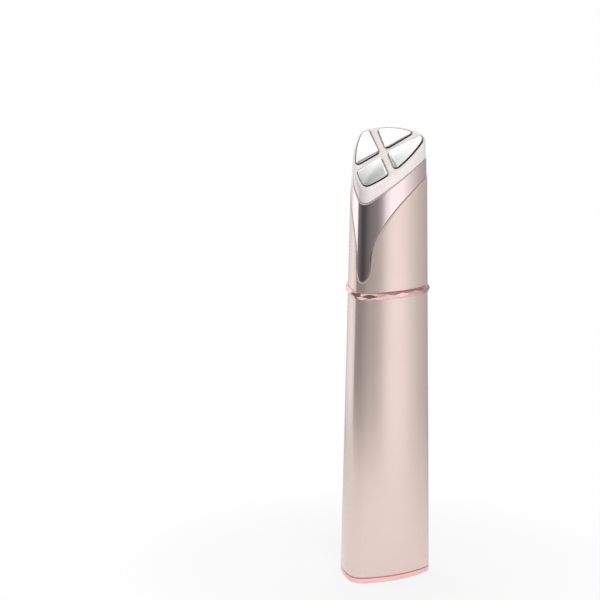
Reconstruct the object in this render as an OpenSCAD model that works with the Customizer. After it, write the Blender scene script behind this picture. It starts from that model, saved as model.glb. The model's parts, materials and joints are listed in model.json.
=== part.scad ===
// Heated eye massager wand: a tapered handle with a bowed, three-sided section, cut off by
// a sloping face that carries four warm contact plates. The front ridge of the handle points
// to -Y, the button is on the back, and the wand stands on z = 0 with its long axis on +Z.

/* [Body] */
// Height of the whole wand
overall_h = 154.8; // [150:0.2:162]
// Distance of each rounded corner's centre from the long axis, at the base
corner_c = 12.85; // [12.4:0.05:13.6]
// Radius of the three rounded corners, at the base
corner_r = 4.7; // [4.5:0.05:5.4]
// Radius of the three bowed sides, at the base
side_r = 35.4; // [34:0.1:40]
// Size of the section at the full height, as a share of the base
top_scale = 0.826; // [0.82:0.002:0.87]

/* [Base] */
// Height of the glossy base cap
cap_h = 1.8; // [1.5:0.1:2.5]
// Rounding of the cap's lower edge
cap_round = 0.7; // [0.3:0.1:1]
// Height of the plug that holds the cap in the housing
plug_h = 3.2; // [2.5:0.1:4]
// Wall of the plug
plug_wall = 1.2; // [1:0.1:1.4]
// Thickness of the gasket between cap and housing
gasket_t = 0.4; // [0.3:0.05:0.6]
// How far the gasket is set in from the surface
gasket_inset = 0.25; // [0.1:0.05:0.5]

/* [Shells] */
// Wall of the lower housing
housing_wall = 1.8; // [1.6:0.1:2]
// Wall of the satin cover round the upper half
cover_wall = 1; // [0.8:0.1:1.1]
// Wall of the polished sleeve
sleeve_wall = 1.2; // [1:0.1:1.3]
// How far the polished land lies below the satin cover's surface
land_inset = 0.25; // [0.15:0.05:0.4]
// Length of the sleeve's spigot inside the lower housing
spigot_l = 5; // [4:0.5:7]
// Height of the step where the sleeve widens above its spigot
step_h = 1.2; // [1:0.1:2]

/* [Accent ring] */
// Distance of the middle of the faceted ring below the top of the wand
ring_drop = 53.8; // [51:0.1:57]
// Height of the ring
ring_h = 2.3; // [2:0.1:3]
// How far the ring's facets stand out of the handle
ring_proud = 0.75; // [0.5:0.05:1]
// How far its top and bottom edges stand out
ring_edge = 0.3; // [0.2:0.05:0.4]
// Facets on each of the three sides
ring_facets = 5; // [4:1:7]
// Height of a facet, as a share of the ring
facet_share = 0.62; // [0.4:0.02:0.8]

/* [Cover seam] */
// Distance of the seam below the top of the wand, on its back
seam_back_drop = 11.9; // [11.3:0.1:14]
// Distance of the tongue's blunt tip above the middle of the ring, on the front ridge
tongue_rise = 4.7; // [4:0.1:6]
// Length of the tongue, up to where its sides start to spread
tongue_l = 7.2; // [5.5:0.1:8.5]
// Width of the tongue, measured round the ridge at the base's scale
tongue_w = 6.9; // [6:0.1:7.6]
// Share of the tongue's half width that its tip stays level for
tongue_blunt = 0.63; // [0.4:0.01:0.9]
// How far the seam keeps rising steeply above the tongue
seam_rise = 13.3; // [8:0.1:15]
// How far it runs nearly level before the back
seam_reach = 23.2; // [18:0.1:30]
// Gap between the satin cover and the polished land
seam_gap = 0.15; // [0.1:0.05:0.25]

/* [Head] */
// Slope of the face that carries the plates, in degrees
face_tilt = 35.2; // [33:0.2:37]
// How far the head's side lies below the polished sleeve's surface line
head_inset = 0.55; // [0.4:0.05:0.7]
// Rounding between the head's side and its face
head_round = 0.9; // [0.6:0.1:1.2]
// Depth of the head's side, from the face down to the seam, on the front ridge
head_side_front = 5.5; // [5.2:0.1:6.4]
// Depth of the head's side on the back
head_side_back = 7.8; // [7:0.1:8.4]
// Rise of the curved seam above a straight line from front to back
head_seam_bow = 1.8; // [1:0.1:2.2]
// Thickness of the floor that holds the plates
floor_t = 2.2; // [2:0.1:2.6]
// Wall of the skirt that plugs into the sleeve
skirt_wall = 0.9; // [0.8:0.05:1]
// Depth of the skirt below the seam
skirt_l = 5; // [3:0.5:6]

/* [Contact plates] */
// Distance of the plates' outer edges from the handle's surface line
plate_margin = 1.65; // [1.5:0.05:1.9]
// Distance between neighbouring plates, across a strap
strap_w = 2.8; // [2.4:0.1:3.2]
// Angle of the four straps from the width of the face
strap_angle = 51.5; // [48:0.5:54]
// Where the straps cross, up the slope from the long axis; a minus sign is below it
strap_y = -0.6; // [-1.5:0.1:0.5]
// Rounding of the plates' corners
plate_round = 1; // [0.6:0.1:1.4]
// Height of the plates' rims above the face
plate_proud = 0.15; // [0.1:0.05:0.4]
// Rise of the domed top above the rim
plate_dome = 0.4; // [0.2:0.05:0.6]
// Width of the rounding between a plate's rim and its top
plate_bevel = 1.4; // [1:0.1:1.5]
// Width of the first, steeper part of that rounding
plate_edge = 0.3; // [0.2:0.05:0.4]
// Thickness of a plate's flange below the face
plate_seat = 0.95; // [0.8:0.05:1.1]
// Width of the ledge that a plate rests on
ledge_w = 0.9; // [0.7:0.05:1.1]
// Gap round each plate in its well
well_gap = 0.35; // [0.25:0.05:0.45]

/* [Heater stack] */
// Thickness of the heater film
film_t = 0.25; // [0.2:0.05:0.4]
// Thickness of the silicone pad that presses the film to the plates
press_t = 1.5; // [1.2:0.1:2]
// Thickness of the two circuit boards
board_t = 1; // [0.8:0.1:1.2]
// Diameter of a contact pin
pin_d = 1.2; // [1:0.1:1.5]
// Places of the pins on the slope, one under each plate: across, and up the slope
pin_places = [[0, -8.6], [5.6, 0.6], [0, 4.2], [-5.6, 0.6]];
// Diameter of the boss under the crossing of the straps
boss_d = 4; // [3.6:0.1:4.4]
// Diameter of the head screw's shank
head_screw_d = 1.6; // [1.4:0.1:2]
// Length of the shank that bites in the boss
head_screw_bite = 2.4; // [1.5:0.1:2.6]
// Width of the ribbon cable between the boards
ribbon_w = 6; // [4:0.5:7]
// Thickness of the ribbon cable
ribbon_t = 0.2; // [0.15:0.05:0.3]
// How far the ribbon runs straight before it bends
ribbon_slack = 12; // [8:0.5:16]
// Height of the ribbon's connector under the head board
connector_h = 1.5; // [1:0.1:2]
// Thickness of the connector
connector_t = 2; // [1.5:0.1:2.5]
// Place of the connector, up the slope from the long axis
connector_y = 2.4; // [2.2:0.1:2.8]

/* [Button] */
// Distance of the button's centre below the ring
button_drop = 21; // [18:0.5:26]
// Diameter of the button
button_d = 8.6; // [7.6:0.1:9]
// Radial gap round the button
button_gap = 0.2; // [0.12:0.02:0.25]
// Width of the bezel ring
bezel_w = 1.2; // [1:0.1:1.6]
// How far the bezel stands out of the housing
bezel_proud = 0.15; // [0.05:0.05:0.3]
// How far the button stands out of the housing
button_proud = 0.45; // [0.3:0.05:0.6]
// Travel of the button
button_travel = 0.5; // [0.3:0.05:0.55]
// Overlap of the button's flange behind the bezel
flange_lap = 0.7; // [0.5:0.05:1]
// Thickness of the flange
flange_t = 0.6; // [0.5:0.05:0.7]
// Thickness of the silicone seal behind the bezel
seal_t = 0.5; // [0.4:0.05:0.6]
// How far the seal reaches past the bezel
seal_lap = 0.9; // [0.6:0.1:1.1]
// Radial gap between the seal and the button, past the button's own gap
seal_gap = 0.2; // [0.1:0.05:0.3]
// Width of the switch body
switch_w = 6; // [5:0.1:6.4]
// Height of the switch body above the board
switch_h = 2; // [1.8:0.05:2.1]
// Diameter of the switch's plunger
plunger_d = 3.4; // [3:0.1:3.6]
// How far the plunger stands out of the switch
plunger_proud = 0.8; // [0.7:0.05:1]
// Floor of the switch body under the plunger
switch_floor = 0.5; // [0.4:0.05:0.6]

/* [Indicator] */
// Distance of the indicator window's centre below the ring
lens_drop = 12; // [11.5:0.5:12.5]
// Diameter of the window
lens_d = 2.4; // [2:0.1:3]
// Width of the window's rim behind the housing
lens_rim = 1; // [0.7:0.1:1.2]
// How far the window is set in from the surface
lens_inset = 0.05; // [0.03:0.01:0.1]
// Height of the light-emitting diode above the board
led_h = 0.7; // [0.5:0.1:1]
// Width of the diode
led_w = 1.6; // [1.2:0.1:2]
// Length of the diode, along the handle
led_l = 1; // [0.6:0.1:1.2]

/* [Charging socket] */
// Width of the metal shell
socket_w = 8.94; // [8.8:0.02:9.1]
// Thickness of the metal shell across its flat
socket_t = 3.26; // [3.1:0.02:3.4]
// Length of the shell
socket_l = 7.3; // [6.5:0.1:8]
// Sheet of the shell
socket_wall = 0.35; // [0.25:0.05:0.4]
// How far the shell's mouth is set up from the base
socket_recess = 0.5; // [0.3:0.1:0.8]
// Thickness of the tongue that carries the contacts
socket_tongue_t = 0.7; // [0.6:0.05:0.8]
// Width of that tongue
socket_tongue_w = 6.64; // [6.4:0.02:6.8]
// How far the tongue's tip is set back from the shell's mouth
tongue_recess = 1; // [0.6:0.1:1.4]

/* [Chassis and main board] */
// Front face of the chassis spine, behind the long axis
spine_y = 3.2; // [3:0.1:3.4]
// Thickness of the spine
spine_t = 1.2; // [1:0.1:1.4]
// Width of the spine below the neck
spine_w = 13; // [12:0.5:14]
// Width of the spine inside the neck
neck_w = 9; // [8:0.5:10]
// Thickness of the chassis plates
plate_t = 1.4; // [1.2:0.1:1.8]
// Height of the bosses that carry the main board
standoff_h = 0.5; // [0.4:0.05:0.6]
// Width of the main board
board_w = 15; // [13:0.5:15.5]
// Height of the main board's lower edge
board_z = 3; // [2.6:0.1:3.4]
// Distance of the main board's upper edge below the ring
board_drop = 10; // [9.6:0.1:10.2]
// Height of the lower board screw above the board's lower edge
low_screw_rise = 11; // [9:0.5:14]
// Distance of the upper board screw below the button's centre
high_screw_drop = 10; // [8:0.5:12]
// Diameter of a board screw's shank
board_screw_d = 2; // [1.8:0.1:2.2]
// Diameter of the bosses that the screws go into
board_boss_d = 4.8; // [4.2:0.1:5.4]
// Diameter of a screw's head, in shank diameters
head_widths = 2; // [1.7:0.1:2.2]
// Height of a screw's head, in shank diameters
head_heights = 0.7; // [0.5:0.05:0.8]

/* [Battery] */
// Diameter of the cell
battery_d = 14; // [13.6:0.1:14.2]
// Length of the cell
battery_l = 50; // [40:1:55]
// Height of the cell's lower end
battery_z = 10; // [9:0.5:12]
// Wall of the trough that holds the cell
trough_wall = 0.8; // [0.7:0.1:0.9]
// Depth of the groove in the spine that seats the cell
cell_seat = 0.25; // [0.2:0.05:0.3]
// Thickness of the end contacts
tab_t = 0.3; // [0.2:0.05:0.4]
// Width of the end contacts
tab_w = 4; // [3:0.2:5]
// Height of the cell's raised end
nub_h = 0.8; // [0.6:0.1:1]
// Diameter of the raised end
nub_d = 5; // [4:0.2:6]

/* [Motor] */
// Diameter of the vibration motor
motor_d = 7; // [6.5:0.1:7.4]
// Length of the motor's can
motor_l = 14; // [12:0.5:16]
// Height of the can's lower end above the middle of the ring
motor_rise = 6; // [4:0.5:8]
// Place of the motor's axis along Y; a minus sign is in front of the long axis
motor_y = -2; // [-2.4:0.1:-1.8]
// Wall of the rubber sleeve round the motor
grip_wall = 0.8; // [0.6:0.1:1]
// Length of the rubber sleeve
grip_l = 9; // [8:0.5:10]
// Wall of the holder
holder_wall = 1.2; // [1:0.1:1.4]
// Diameter of the motor's shaft
shaft_d = 1; // [0.8:0.1:1.2]
// Diameter of the eccentric weight
weight_d = 6; // [5:0.2:6.4]
// Height of the eccentric weight
weight_h = 4; // [3:0.5:4.5]

/* [Fits] */
// Clearance between shells that slide into each other
fit_gap = 0.15; // [0.1:0.01:0.2]
// Clearance round loose inner parts
loose_gap = 0.3; // [0.25:0.01:0.35]
// Running clearance of the shaft in its bearings
run_gap = 0.05; // [0.03:0.01:0.08]

/* [Hidden] */

round_fn = 64;
corner_steps = 10;
side_steps = 8;
least_r = 0.2;
far = 60;
slip = 0.01;
// Half the height of the stretch of wall that the button's pieces are cut from
patch = 15;
// Depth of the block that the head is cut from
head_block = 10;

// Section: three corner arcs and three bowed sides, each tangent to its neighbours
third_turn = 360 / 3;
arc_gap = side_r - corner_r;
side_k = (sqrt(4 * pow(arc_gap, 2) - 3 * pow(corner_c, 2)) - corner_c) / 2;
corner_half = atan2(side_k * sin(60), corner_c + side_k * cos(60));
normals = [
    for (i = [0 : corner_steps]) corner_half * (2 * i / corner_steps - 1),
    for (i = [1 : side_steps - 1]) corner_half + (third_turn - 2 * corner_half) * i / side_steps
];
shrink = (1 - top_scale) / overall_h;

// Heights
ring_z = overall_h - ring_drop;
seam_back_z = overall_h - seam_back_drop;
tongue_tip_z = ring_z + tongue_rise;
tongue_top_z = tongue_tip_z + tongue_l;
button_z = ring_z - button_drop;
lens_z = ring_z - lens_drop;
board_top_z = ring_z - board_drop;
board_screw_zs = [board_z + low_screw_rise, button_z - high_screw_drop];
motor_z = ring_z + motor_rise;
housing_z = cap_h + gasket_t;
ring_bottom = ring_z - ring_h / 2;
ring_top = ring_z + ring_h / 2;
spigot_z = ring_bottom - spigot_l;
face_z = face_axis_z();

// Insets of the nested shells, measured in from the handle's surface
plug_inset = housing_wall + fit_gap;
sleeve_inset = cover_wall + fit_gap;
bore_inset = sleeve_inset + sleeve_wall;
spigot_inset = housing_wall + fit_gap;
spigot_bore = spigot_inset + sleeve_wall;
skirt_inset = bore_inset + fit_gap;
cavity_inset = skirt_inset + skirt_wall;
stack_inset = cavity_inset + loose_gap;
chassis_inset = housing_wall + loose_gap;

// Layers of the head, as heights along the face's normal
film_h = -floor_t - film_t;
press_h = film_h - press_t;
head_board_h = press_h - board_t;

// Places along Y, from the spine to the back of the wand
board_y = spine_y + spine_t + standoff_h;
board_face = board_y + board_t;
switch_top = board_face + switch_h;
flange_inset = housing_wall + seal_t + loose_gap;
button_foot = back_y(button_z, flange_inset + flange_t) - slip;
socket_y = board_face + socket_t / 2;

// Places inside the handle
battery_y = spine_y + cell_seat - fit_gap - battery_d / 2;
battery_top = battery_z + battery_l + nub_h;
trough_r = battery_d / 2 + fit_gap + trough_wall;
motor_top = motor_z + motor_l;
holder_r = motor_d / 2 + grip_wall + holder_wall;
top_deck_z = spigot_z - loose_gap - plate_t;
bottom_deck_z = cap_h + plug_h;

// Head seam: an arc in the side view, through a front point, a back point and a bow
seam_front = side_point(-corner_c - corner_r, head_side_front);
seam_back = side_point(side_r - side_k, head_side_back);
seam_chord = norm(seam_back - seam_front);
head_seam_r = (pow(seam_chord / 2, 2) + pow(head_seam_bow, 2)) / (2 * head_seam_bow);
chord_dir = (seam_back - seam_front) / seam_chord;
head_seam_c = (seam_front + seam_back) / 2
    + (head_seam_r - head_seam_bow) * [chord_dir.y, -chord_dir.x];

// ---------------------------------------------------------------- section geometry

function taper(z) = 1 - shrink * z;

function turn(p, a) = [p.x * cos(a) - p.y * sin(a), p.x * sin(a) + p.y * cos(a)];

// A point of one third of the section, where the outward normal is q degrees from the corner
function arc_point(q, s, inset) = q <= corner_half
    ? [corner_c * s, 0] + max(corner_r * s - inset, least_r) * [cos(q), sin(q)]
    : (side_r * s - inset) * [cos(q), sin(q)] - side_k * s * [cos(60), sin(60)];

function level_ring(z, inset) = [
    for (k = [0 : 2]) for (q = normals)
        let (p = turn(arc_point(q, taper(z), inset), third_turn * k - 90)) [p.x, p.y, z]
];

// Height of the sloping face on the long axis: its rounded back edge ends at overall_h
function face_axis_z() = overall_h - tan(face_tilt) * back_y(overall_h, head_inset)
    + head_round * (1 + sin(face_tilt) - sqrt(1 + pow(sin(face_tilt), 2))) / cos(face_tilt);

// Surface of the back of the wand at x = 0, less an inset
function back_y(z, inset) = (side_r - side_k) * taper(z) - inset;

// The handle cut by a plane parallel to the face, h above it along its normal
function sloped_ring(h, inset) = [
    for (k = [0 : 2]) for (q = normals)
        let (
            base = turn(arc_point(q, 1, 0), third_turn * k - 90),
            out = turn([cos(q), sin(q)], third_turn * k - 90),
            m = tan(face_tilt),
            z = (face_z + h / cos(face_tilt) + m * (base.y - inset * out.y)) / (1 + m * shrink * base.y),
            p = turn(arc_point(q, taper(z), inset), third_turn * k - 90)
        ) [p.x, p.y, z]
];

// The same outline in the face's own coordinates: across, and up the slope
function face_outline(h, inset) = [
    for (p = sloped_ring(h, inset)) [p.x, (p.y + h * sin(face_tilt)) / cos(face_tilt)]
];

// A point of the head's side in the side view, a given depth below the face
function side_point(base_y, depth) =
    let (z = face_z + tan(face_tilt) * base_y * top_scale - depth)
    [base_y * taper(z), z];

// Cubic curve through a from-point and a to-point with two handles
function bezier(a, b, c, d, t) =
    pow(1 - t, 3) * a + 3 * pow(1 - t, 2) * t * b + 3 * (1 - t) * pow(t, 2) * c + pow(t, 3) * d;

// One third of the base's outline, from ridge to ridge, by length
half_arc = corner_r * corner_half * PI / 180;
side_len = side_r * (third_turn - 2 * corner_half) * PI / 180;
third_len = 2 * half_arc + side_len;

function normal_at(l) =
    l < half_arc ? l / corner_r * 180 / PI
    : l < half_arc + side_len ? corner_half + (l - half_arc) / side_r * 180 / PI
    : third_turn - corner_half + (l - half_arc - side_len) / corner_r * 180 / PI;

// A point of the unrolled surface: a is measured round the base from the front ridge
function surface_at(a, z, inset) =
    let (
        k = floor(a / third_len),
        q = normal_at(a - k * third_len),
        past = q > third_turn - corner_half,
        p = turn(arc_point(past ? q - third_turn : q, taper(z), inset),
            third_turn * (past ? k + 1 : k) - 90)
    ) [p.x, p.y, z];

// Half of the cover's seam on the unrolled surface, from the tongue's tip to the back
seam_turn = [tongue_w / 2, tongue_top_z];
seam_end = [1.5 * third_len, seam_back_z];
seam_half = concat(
    [for (i = [0 : 7]) bezier([0, tongue_tip_z], [tongue_blunt * seam_turn.x, tongue_tip_z],
        [seam_turn.x, (tongue_tip_z + tongue_top_z) / 2], seam_turn, i / 8)],
    [for (i = [0 : 24]) bezier(seam_turn, seam_turn + [0, seam_rise],
        seam_end - [seam_reach, 0], seam_end, i / 24)]
);
seam_last = len(seam_half) - 1;

// A point of the seam, moved a gap away from the cover
function seam_point(i, gap) =
    let (
        step = seam_half[min(i + 1, seam_last)] - seam_half[max(i - 1, 0)],
        along = i == 0 || i == seam_last ? [1, 0] : step / norm(step)
    ) seam_half[i] + gap * [-along.y, along.x];

// The seam right round the wand, at one inset from the surface
function seam_ring(gap, inset) = [
    for (i = [0 : seam_last]) let (p = seam_point(i, gap)) surface_at(p.x, p.y, inset),
    for (i = [seam_last - 1 : -1 : 1]) let (p = seam_point(i, gap)) surface_at(-p.x, p.y, inset)
];

// ---------------------------------------------------------------- shared modules

// A closed solid through rings of equal length, from the lowest up
module skin(rings) {
    n = len(rings[0]);
    polyhedron(
        points = [for (r = rings) each r],
        faces = [
            [for (i = [0 : n - 1]) i],
            [for (i = [n - 1 : -1 : 0]) (len(rings) - 1) * n + i],
            for (j = [0 : len(rings) - 2]) for (i = [0 : n - 1]) each
                let (a = j * n + i, b = j * n + (i + 1) % n) [[a, a + n, b + n], [a, b + n, b]]
        ]
    );
}

// The handle's form between two heights, set in from its surface
module handle(z0, z1, inset) {
    skin([level_ring(z0, inset), level_ring(z1, inset)]);
}

// A wall that follows the handle's surface between two insets
module wall(z0, z1, outer, inner) {
    difference() {
        handle(z0, z1, outer);
        handle(z0 - 1, z1 + 1, inner);
    }
}

// Puts children on the sloping face: x across, y up the slope, z along its normal
module on_face(h = 0) {
    translate([0, 0, face_z]) rotate([face_tilt, 0, 0]) translate([0, 0, h]) children();
}

// Puts children on a line that points out of the wand's back
module to_back(y, z) {
    translate([0, y, z]) rotate([-90, 0, 0]) children();
}

module rod(d, h) {
    cylinder(d = d, h = h, $fn = round_fn);
}

// Everything under the head's seam, less a margin
module below_seam(margin = 0) {
    translate([-far / 2, head_seam_c.x, head_seam_c.y]) rotate([0, 90, 0])
        cylinder(r = head_seam_r - margin, h = far, $fn = 180);
}

// Everything above the cover's seam, cut square to the surface, less a gap
module open_front(gap = 0) {
    inner = seam_ring(gap, bore_inset);
    outer = seam_ring(gap, -far);
    skin([
        [for (p = inner) [p.x / far, p.y / far, tongue_top_z]],
        inner,
        outer,
        [for (p = outer) [p.x, p.y, 2 * overall_h]]
    ]);
}

// What lies below the head's floor, with a small lap into it
module under_floor(lap = 0) {
    intersection() {
        children();
        on_face(lap - floor_t - far) linear_extrude(far) square(2 * far, center = true);
    }
}

// ---------------------------------------------------------------- base

module socket_outline(grow = 0) {
    d = socket_t + 2 * grow;
    for (side = [-1, 1]) translate([side * (socket_w - socket_t) / 2, 0]) circle(d = d, $fn = round_fn);
    square([socket_w - socket_t, d], center = true);
}

module base_cap() {
    color("pink") difference() {
        union() {
            skin([
                for (a = [0 : 22.5 : 90]) level_ring(cap_round * (1 - cos(a)), cap_round * (1 - sin(a))),
                level_ring(cap_h, 0)
            ]);
            wall(cap_h - slip, cap_h + plug_h, plug_inset, plug_inset + plug_wall);
        }
        translate([0, socket_y, -1]) linear_extrude(cap_h + 2) socket_outline(fit_gap);
    }
}

module base_gasket() {
    color("rosybrown") wall(cap_h, housing_z, gasket_inset, plug_inset - fit_gap / 2);
}

module charge_socket() {
    color("silver") translate([0, socket_y, socket_recess]) difference() {
        linear_extrude(socket_l) socket_outline();
        translate([0, 0, -1]) linear_extrude(socket_l - socket_wall + 1) socket_outline(-socket_wall);
    }
}

module charge_tongue() {
    color("black")
        translate([-socket_tongue_w / 2, socket_y - socket_tongue_t / 2, socket_recess + tongue_recess])
            cube([socket_tongue_w, socket_tongue_t, socket_l - socket_wall - tongue_recess]);
}

// ---------------------------------------------------------------- shells

module lower_housing() {
    color("rosybrown") difference() {
        wall(housing_z, ring_bottom, 0, housing_wall);
        to_back(0, button_z) rod(button_d + 2 * (button_gap + bezel_w + slip), far);
        to_back(0, lens_z) rod(lens_d + 2 * slip, far);
    }
}

// A girdle of upright lozenges, tip to tip, with sloping triangles above and below
module girdle() {
    n = 3 * ring_facets;
    half = ring_h / 2;
    function at(i, z, inset) = surface_at(i * third_len / ring_facets, ring_z, inset) + [0, 0, z];
    tips = [for (i = [0 : n - 1]) at(i, 0, -ring_proud)];
    function waist(i, z) = (tips[i] + tips[(i + 1) % n]) / 2 + [0, 0, z];
    rim = [for (i = [0 : 2 * n - 1]) i / 2];
    points = concat(
        [for (i = rim) at(i, -half, -ring_edge)], [for (i = rim) at(i, half, -ring_edge)], tips,
        [for (i = [0 : n - 1]) waist(i, -half * facet_share)],
        [for (i = [0 : n - 1]) waist(i, half * facet_share)]
    );
    faces = [
        [for (i = [0 : 2 * n - 1]) i], [for (i = [2 * n - 1 : -1 : 0]) 2 * n + i],
        for (i = [0 : n - 1]) each let (
            low = 2 * i, low_mid = low + 1, low_end = (low + 2) % (2 * n),
            top = 2 * n + low, top_mid = top + 1, top_end = 2 * n + low_end,
            tip = 4 * n + i, tip_end = 4 * n + (i + 1) % n, dip = 5 * n + i, peak = 6 * n + i
        ) [
            [tip, peak, dip], [peak, tip_end, dip],
            [tip, top, peak], [peak, top, top_mid], [peak, top_mid, top_end], [peak, top_end, tip_end],
            [low, tip, dip], [low, dip, low_mid], [low_mid, dip, low_end], [low_end, dip, tip_end]
        ]
    ];
    polyhedron(points = points, faces = faces);
}

module accent_ring() {
    color("lightpink") difference() {
        girdle();
        handle(ring_bottom - 1, ring_top + 1, housing_wall);
    }
}

module upper_cover() {
    color("rosybrown") difference() {
        wall(ring_top, overall_h, 0, cover_wall);
        open_front();
    }
}

module polished_sleeve() {
    color("gray") intersection() {
        difference() {
            union() {
                handle(ring_top, overall_h, sleeve_inset);
                handle(spigot_z, ring_top + slip, spigot_inset);
                intersection() {
                    handle(ring_top + slip, overall_h, land_inset);
                    open_front(seam_gap);
                }
            }
            handle(spigot_z - 1, overall_h, spigot_bore);
            handle(ring_top + step_h, overall_h + 1, bore_inset);
        }
        below_seam();
    }
}

// ---------------------------------------------------------------- head

// The gap between plates: four straps that cross
module strap_lines() {
    translate([0, strap_y]) for (a = [strap_angle, 180 - strap_angle, -strap_angle, strap_angle - 180])
        rotate(a) translate([0, -strap_w / 2]) square([far, strap_w]);
}

// The outline of one plate: 0 front, 1 right, 2 top, 3 left
module plate_outline(i, grow = 0) {
    a = [-90, 0, 90, 180][i];
    half = i % 2 == 0 ? 90 - strap_angle : strap_angle;
    offset(r = plate_round + grow, $fn = 28) offset(delta = -plate_round) intersection() {
        difference() {
            polygon(face_outline(0, plate_margin));
            strap_lines();
        }
        translate([0, strap_y]) rotate(a)
            polygon([[0, 0], far * [cos(half), -sin(half)], far * [cos(half), sin(half)]]);
    }
}

// The window under a plate, kept inside the head's cavity
module plate_window(i, grow = 0) {
    offset(delta = grow) intersection() {
        plate_outline(i, -ledge_w);
        polygon(face_outline(-floor_t, stack_inset));
    }
}

module head_body() {
    skin([
        sloped_ring(-head_block, head_inset),
        for (a = [0 : 22.5 : 90])
            sloped_ring(head_round * (sin(a) - 1), head_inset + head_round * (1 - cos(a)))
    ]);
}

module head_frame() {
    color("ivory") difference() {
        union() {
            difference() {
                union() {
                    difference() {
                        head_body();
                        below_seam();
                    }
                    difference() {
                        under_floor(slip) handle(spigot_z, overall_h, skirt_inset);
                        below_seam(skirt_l);
                    }
                }
                under_floor() handle(spigot_z - 1, overall_h, cavity_inset);
            }
            on_face(press_h) translate([0, strap_y, 0]) rod(boss_d, slip - floor_t - press_h);
        }
        for (i = [0 : 3]) {
            on_face(-plate_seat) linear_extrude(far) plate_outline(i, well_gap);
            on_face(-floor_t - 1) linear_extrude(floor_t + 1) plate_window(i);
        }
        on_face(press_h - 1) translate([0, strap_y, 0]) rod(head_screw_d, 1 + head_screw_bite);
    }
}

module contact_plate(i) {
    color("silver") union() {
        on_face() hull() {
            translate([0, 0, -plate_seat]) linear_extrude(plate_seat + plate_proud) plate_outline(i);
            translate([0, 0, plate_proud]) linear_extrude(plate_dome / 2) plate_outline(i, -plate_edge);
            translate([0, 0, plate_proud]) linear_extrude(plate_dome) plate_outline(i, -plate_bevel);
        }
        on_face(-floor_t) linear_extrude(floor_t - plate_seat + slip) plate_window(i, -fit_gap);
    }
}

module front_plate() { contact_plate(0); }
module right_plate() { contact_plate(1); }
module top_plate() { contact_plate(2); }
module left_plate() { contact_plate(3); }

// A layer of the stack inside the head, clear of the boss and, if asked, of the pins
module stack_layer(h, t, hole, pin_hole) {
    on_face(h) linear_extrude(t) difference() {
        intersection() {
            polygon(face_outline(h, stack_inset));
            polygon(face_outline(h + t, stack_inset));
        }
        translate([0, strap_y]) circle(d = hole, $fn = round_fn);
        if (pin_hole > 0) for (p = pin_places) translate(p) circle(d = pin_hole, $fn = round_fn);
    }
}

module heater_film() {
    color("orange") stack_layer(film_h, film_t, boss_d + 2 * fit_gap, pin_d + 2 * fit_gap);
}

module press_pad() {
    color("lightgray") stack_layer(press_h, press_t, boss_d + 2 * fit_gap, pin_d + 2 * fit_gap);
}

// The board under the pad, with the ribbon's connector on its underside
module head_board() {
    color("darkgreen") union() {
        stack_layer(head_board_h, board_t, head_screw_d + 2 * fit_gap, 0);
        on_face(head_board_h - connector_h) translate([-ribbon_w / 2 - 1, connector_y - connector_t / 2, 0])
            cube([ribbon_w + 2, connector_t, connector_h + slip]);
    }
}

module contact_pins() {
    color("gold") for (p = pin_places)
        on_face(press_h) translate(p) rod(pin_d, -floor_t - press_h);
}

// A round-headed screw that points along +Z, its head below z = 0
module screw(d, l) {
    rod(d, l);
    translate([0, 0, -head_heights * d]) rod(head_widths * d, head_heights * d);
}

module head_screw() {
    color("dimgray") on_face(head_board_h) translate([0, strap_y, 0])
        screw(head_screw_d, board_t + head_screw_bite);
}

// ---------------------------------------------------------------- button and indicator

module power_button() {
    color("lightpink") union() {
        intersection() {
            to_back(button_foot, button_z) rod(button_d, far);
            wall(button_z - patch, button_z + patch, -button_proud, flange_inset + flange_t / 2);
        }
        intersection() {
            to_back(0, button_z) rod(button_d + 2 * (button_gap + flange_lap), far);
            wall(button_z - patch, button_z + patch, flange_inset, flange_inset + flange_t);
        }
        to_back(plunger_top(), button_z) rod(plunger_d, button_foot - plunger_top() + flange_t / 2);
    }
}

function plunger_top() = min(button_foot, switch_top + plunger_proud);

module button_bezel() {
    color("lightpink") difference() {
        intersection() {
            to_back(0, button_z) rod(button_d + 2 * (button_gap + bezel_w), far);
            wall(button_z - patch, button_z + patch, -bezel_proud, housing_wall);
        }
        to_back(0, button_z) rod(button_d + 2 * button_gap, far);
    }
}

module button_seal() {
    color("white") intersection() {
        to_back(0, button_z) difference() {
            rod(button_d + 2 * (button_gap + bezel_w + seal_lap), far);
            translate([0, 0, -1]) rod(button_d + 2 * (button_gap + seal_gap), far + 2);
        }
        wall(button_z - patch, button_z + patch, housing_wall, housing_wall + seal_t);
    }
}

module switch_body() {
    color("black") difference() {
        translate([-switch_w / 2, board_face, button_z - switch_w / 2]) cube([switch_w, switch_h, switch_w]);
        to_back(board_face + switch_floor, button_z) rod(plunger_d + 2 * run_gap, far);
    }
}

module switch_plunger() {
    foot = board_face + switch_floor + button_travel + slip;
    color("white") to_back(foot, button_z) rod(plunger_d, plunger_top() - foot);
}

module indicator_lens() {
    shoulder = lens_d + 2 * lens_rim;
    color("white") intersection() {
        to_back(board_face + led_h + loose_gap, lens_z) union() {
            rod(lens_d, far);
            rod(shoulder, back_y(lens_z, housing_wall + loose_gap / 3) - board_face - led_h - loose_gap);
        }
        union() {
            handle(lens_z - shoulder, lens_z + shoulder, housing_wall);
            intersection() {
                handle(lens_z - shoulder, lens_z + shoulder, lens_inset);
                to_back(0, lens_z) rod(lens_d, far);
            }
        }
    }
}

module indicator_led() {
    color("yellow") translate([-led_w / 2, board_face, lens_z - led_l / 2])
        cube([led_w, led_h, led_l]);
}

// ---------------------------------------------------------------- inside the handle

module main_board() {
    color("darkgreen") difference() {
        translate([-board_w / 2, board_y, board_z]) cube([board_w, board_t, board_top_z - board_z]);
        for (z = board_screw_zs) to_back(0, z) rod(board_screw_d + 2 * fit_gap, far);
    }
}

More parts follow.
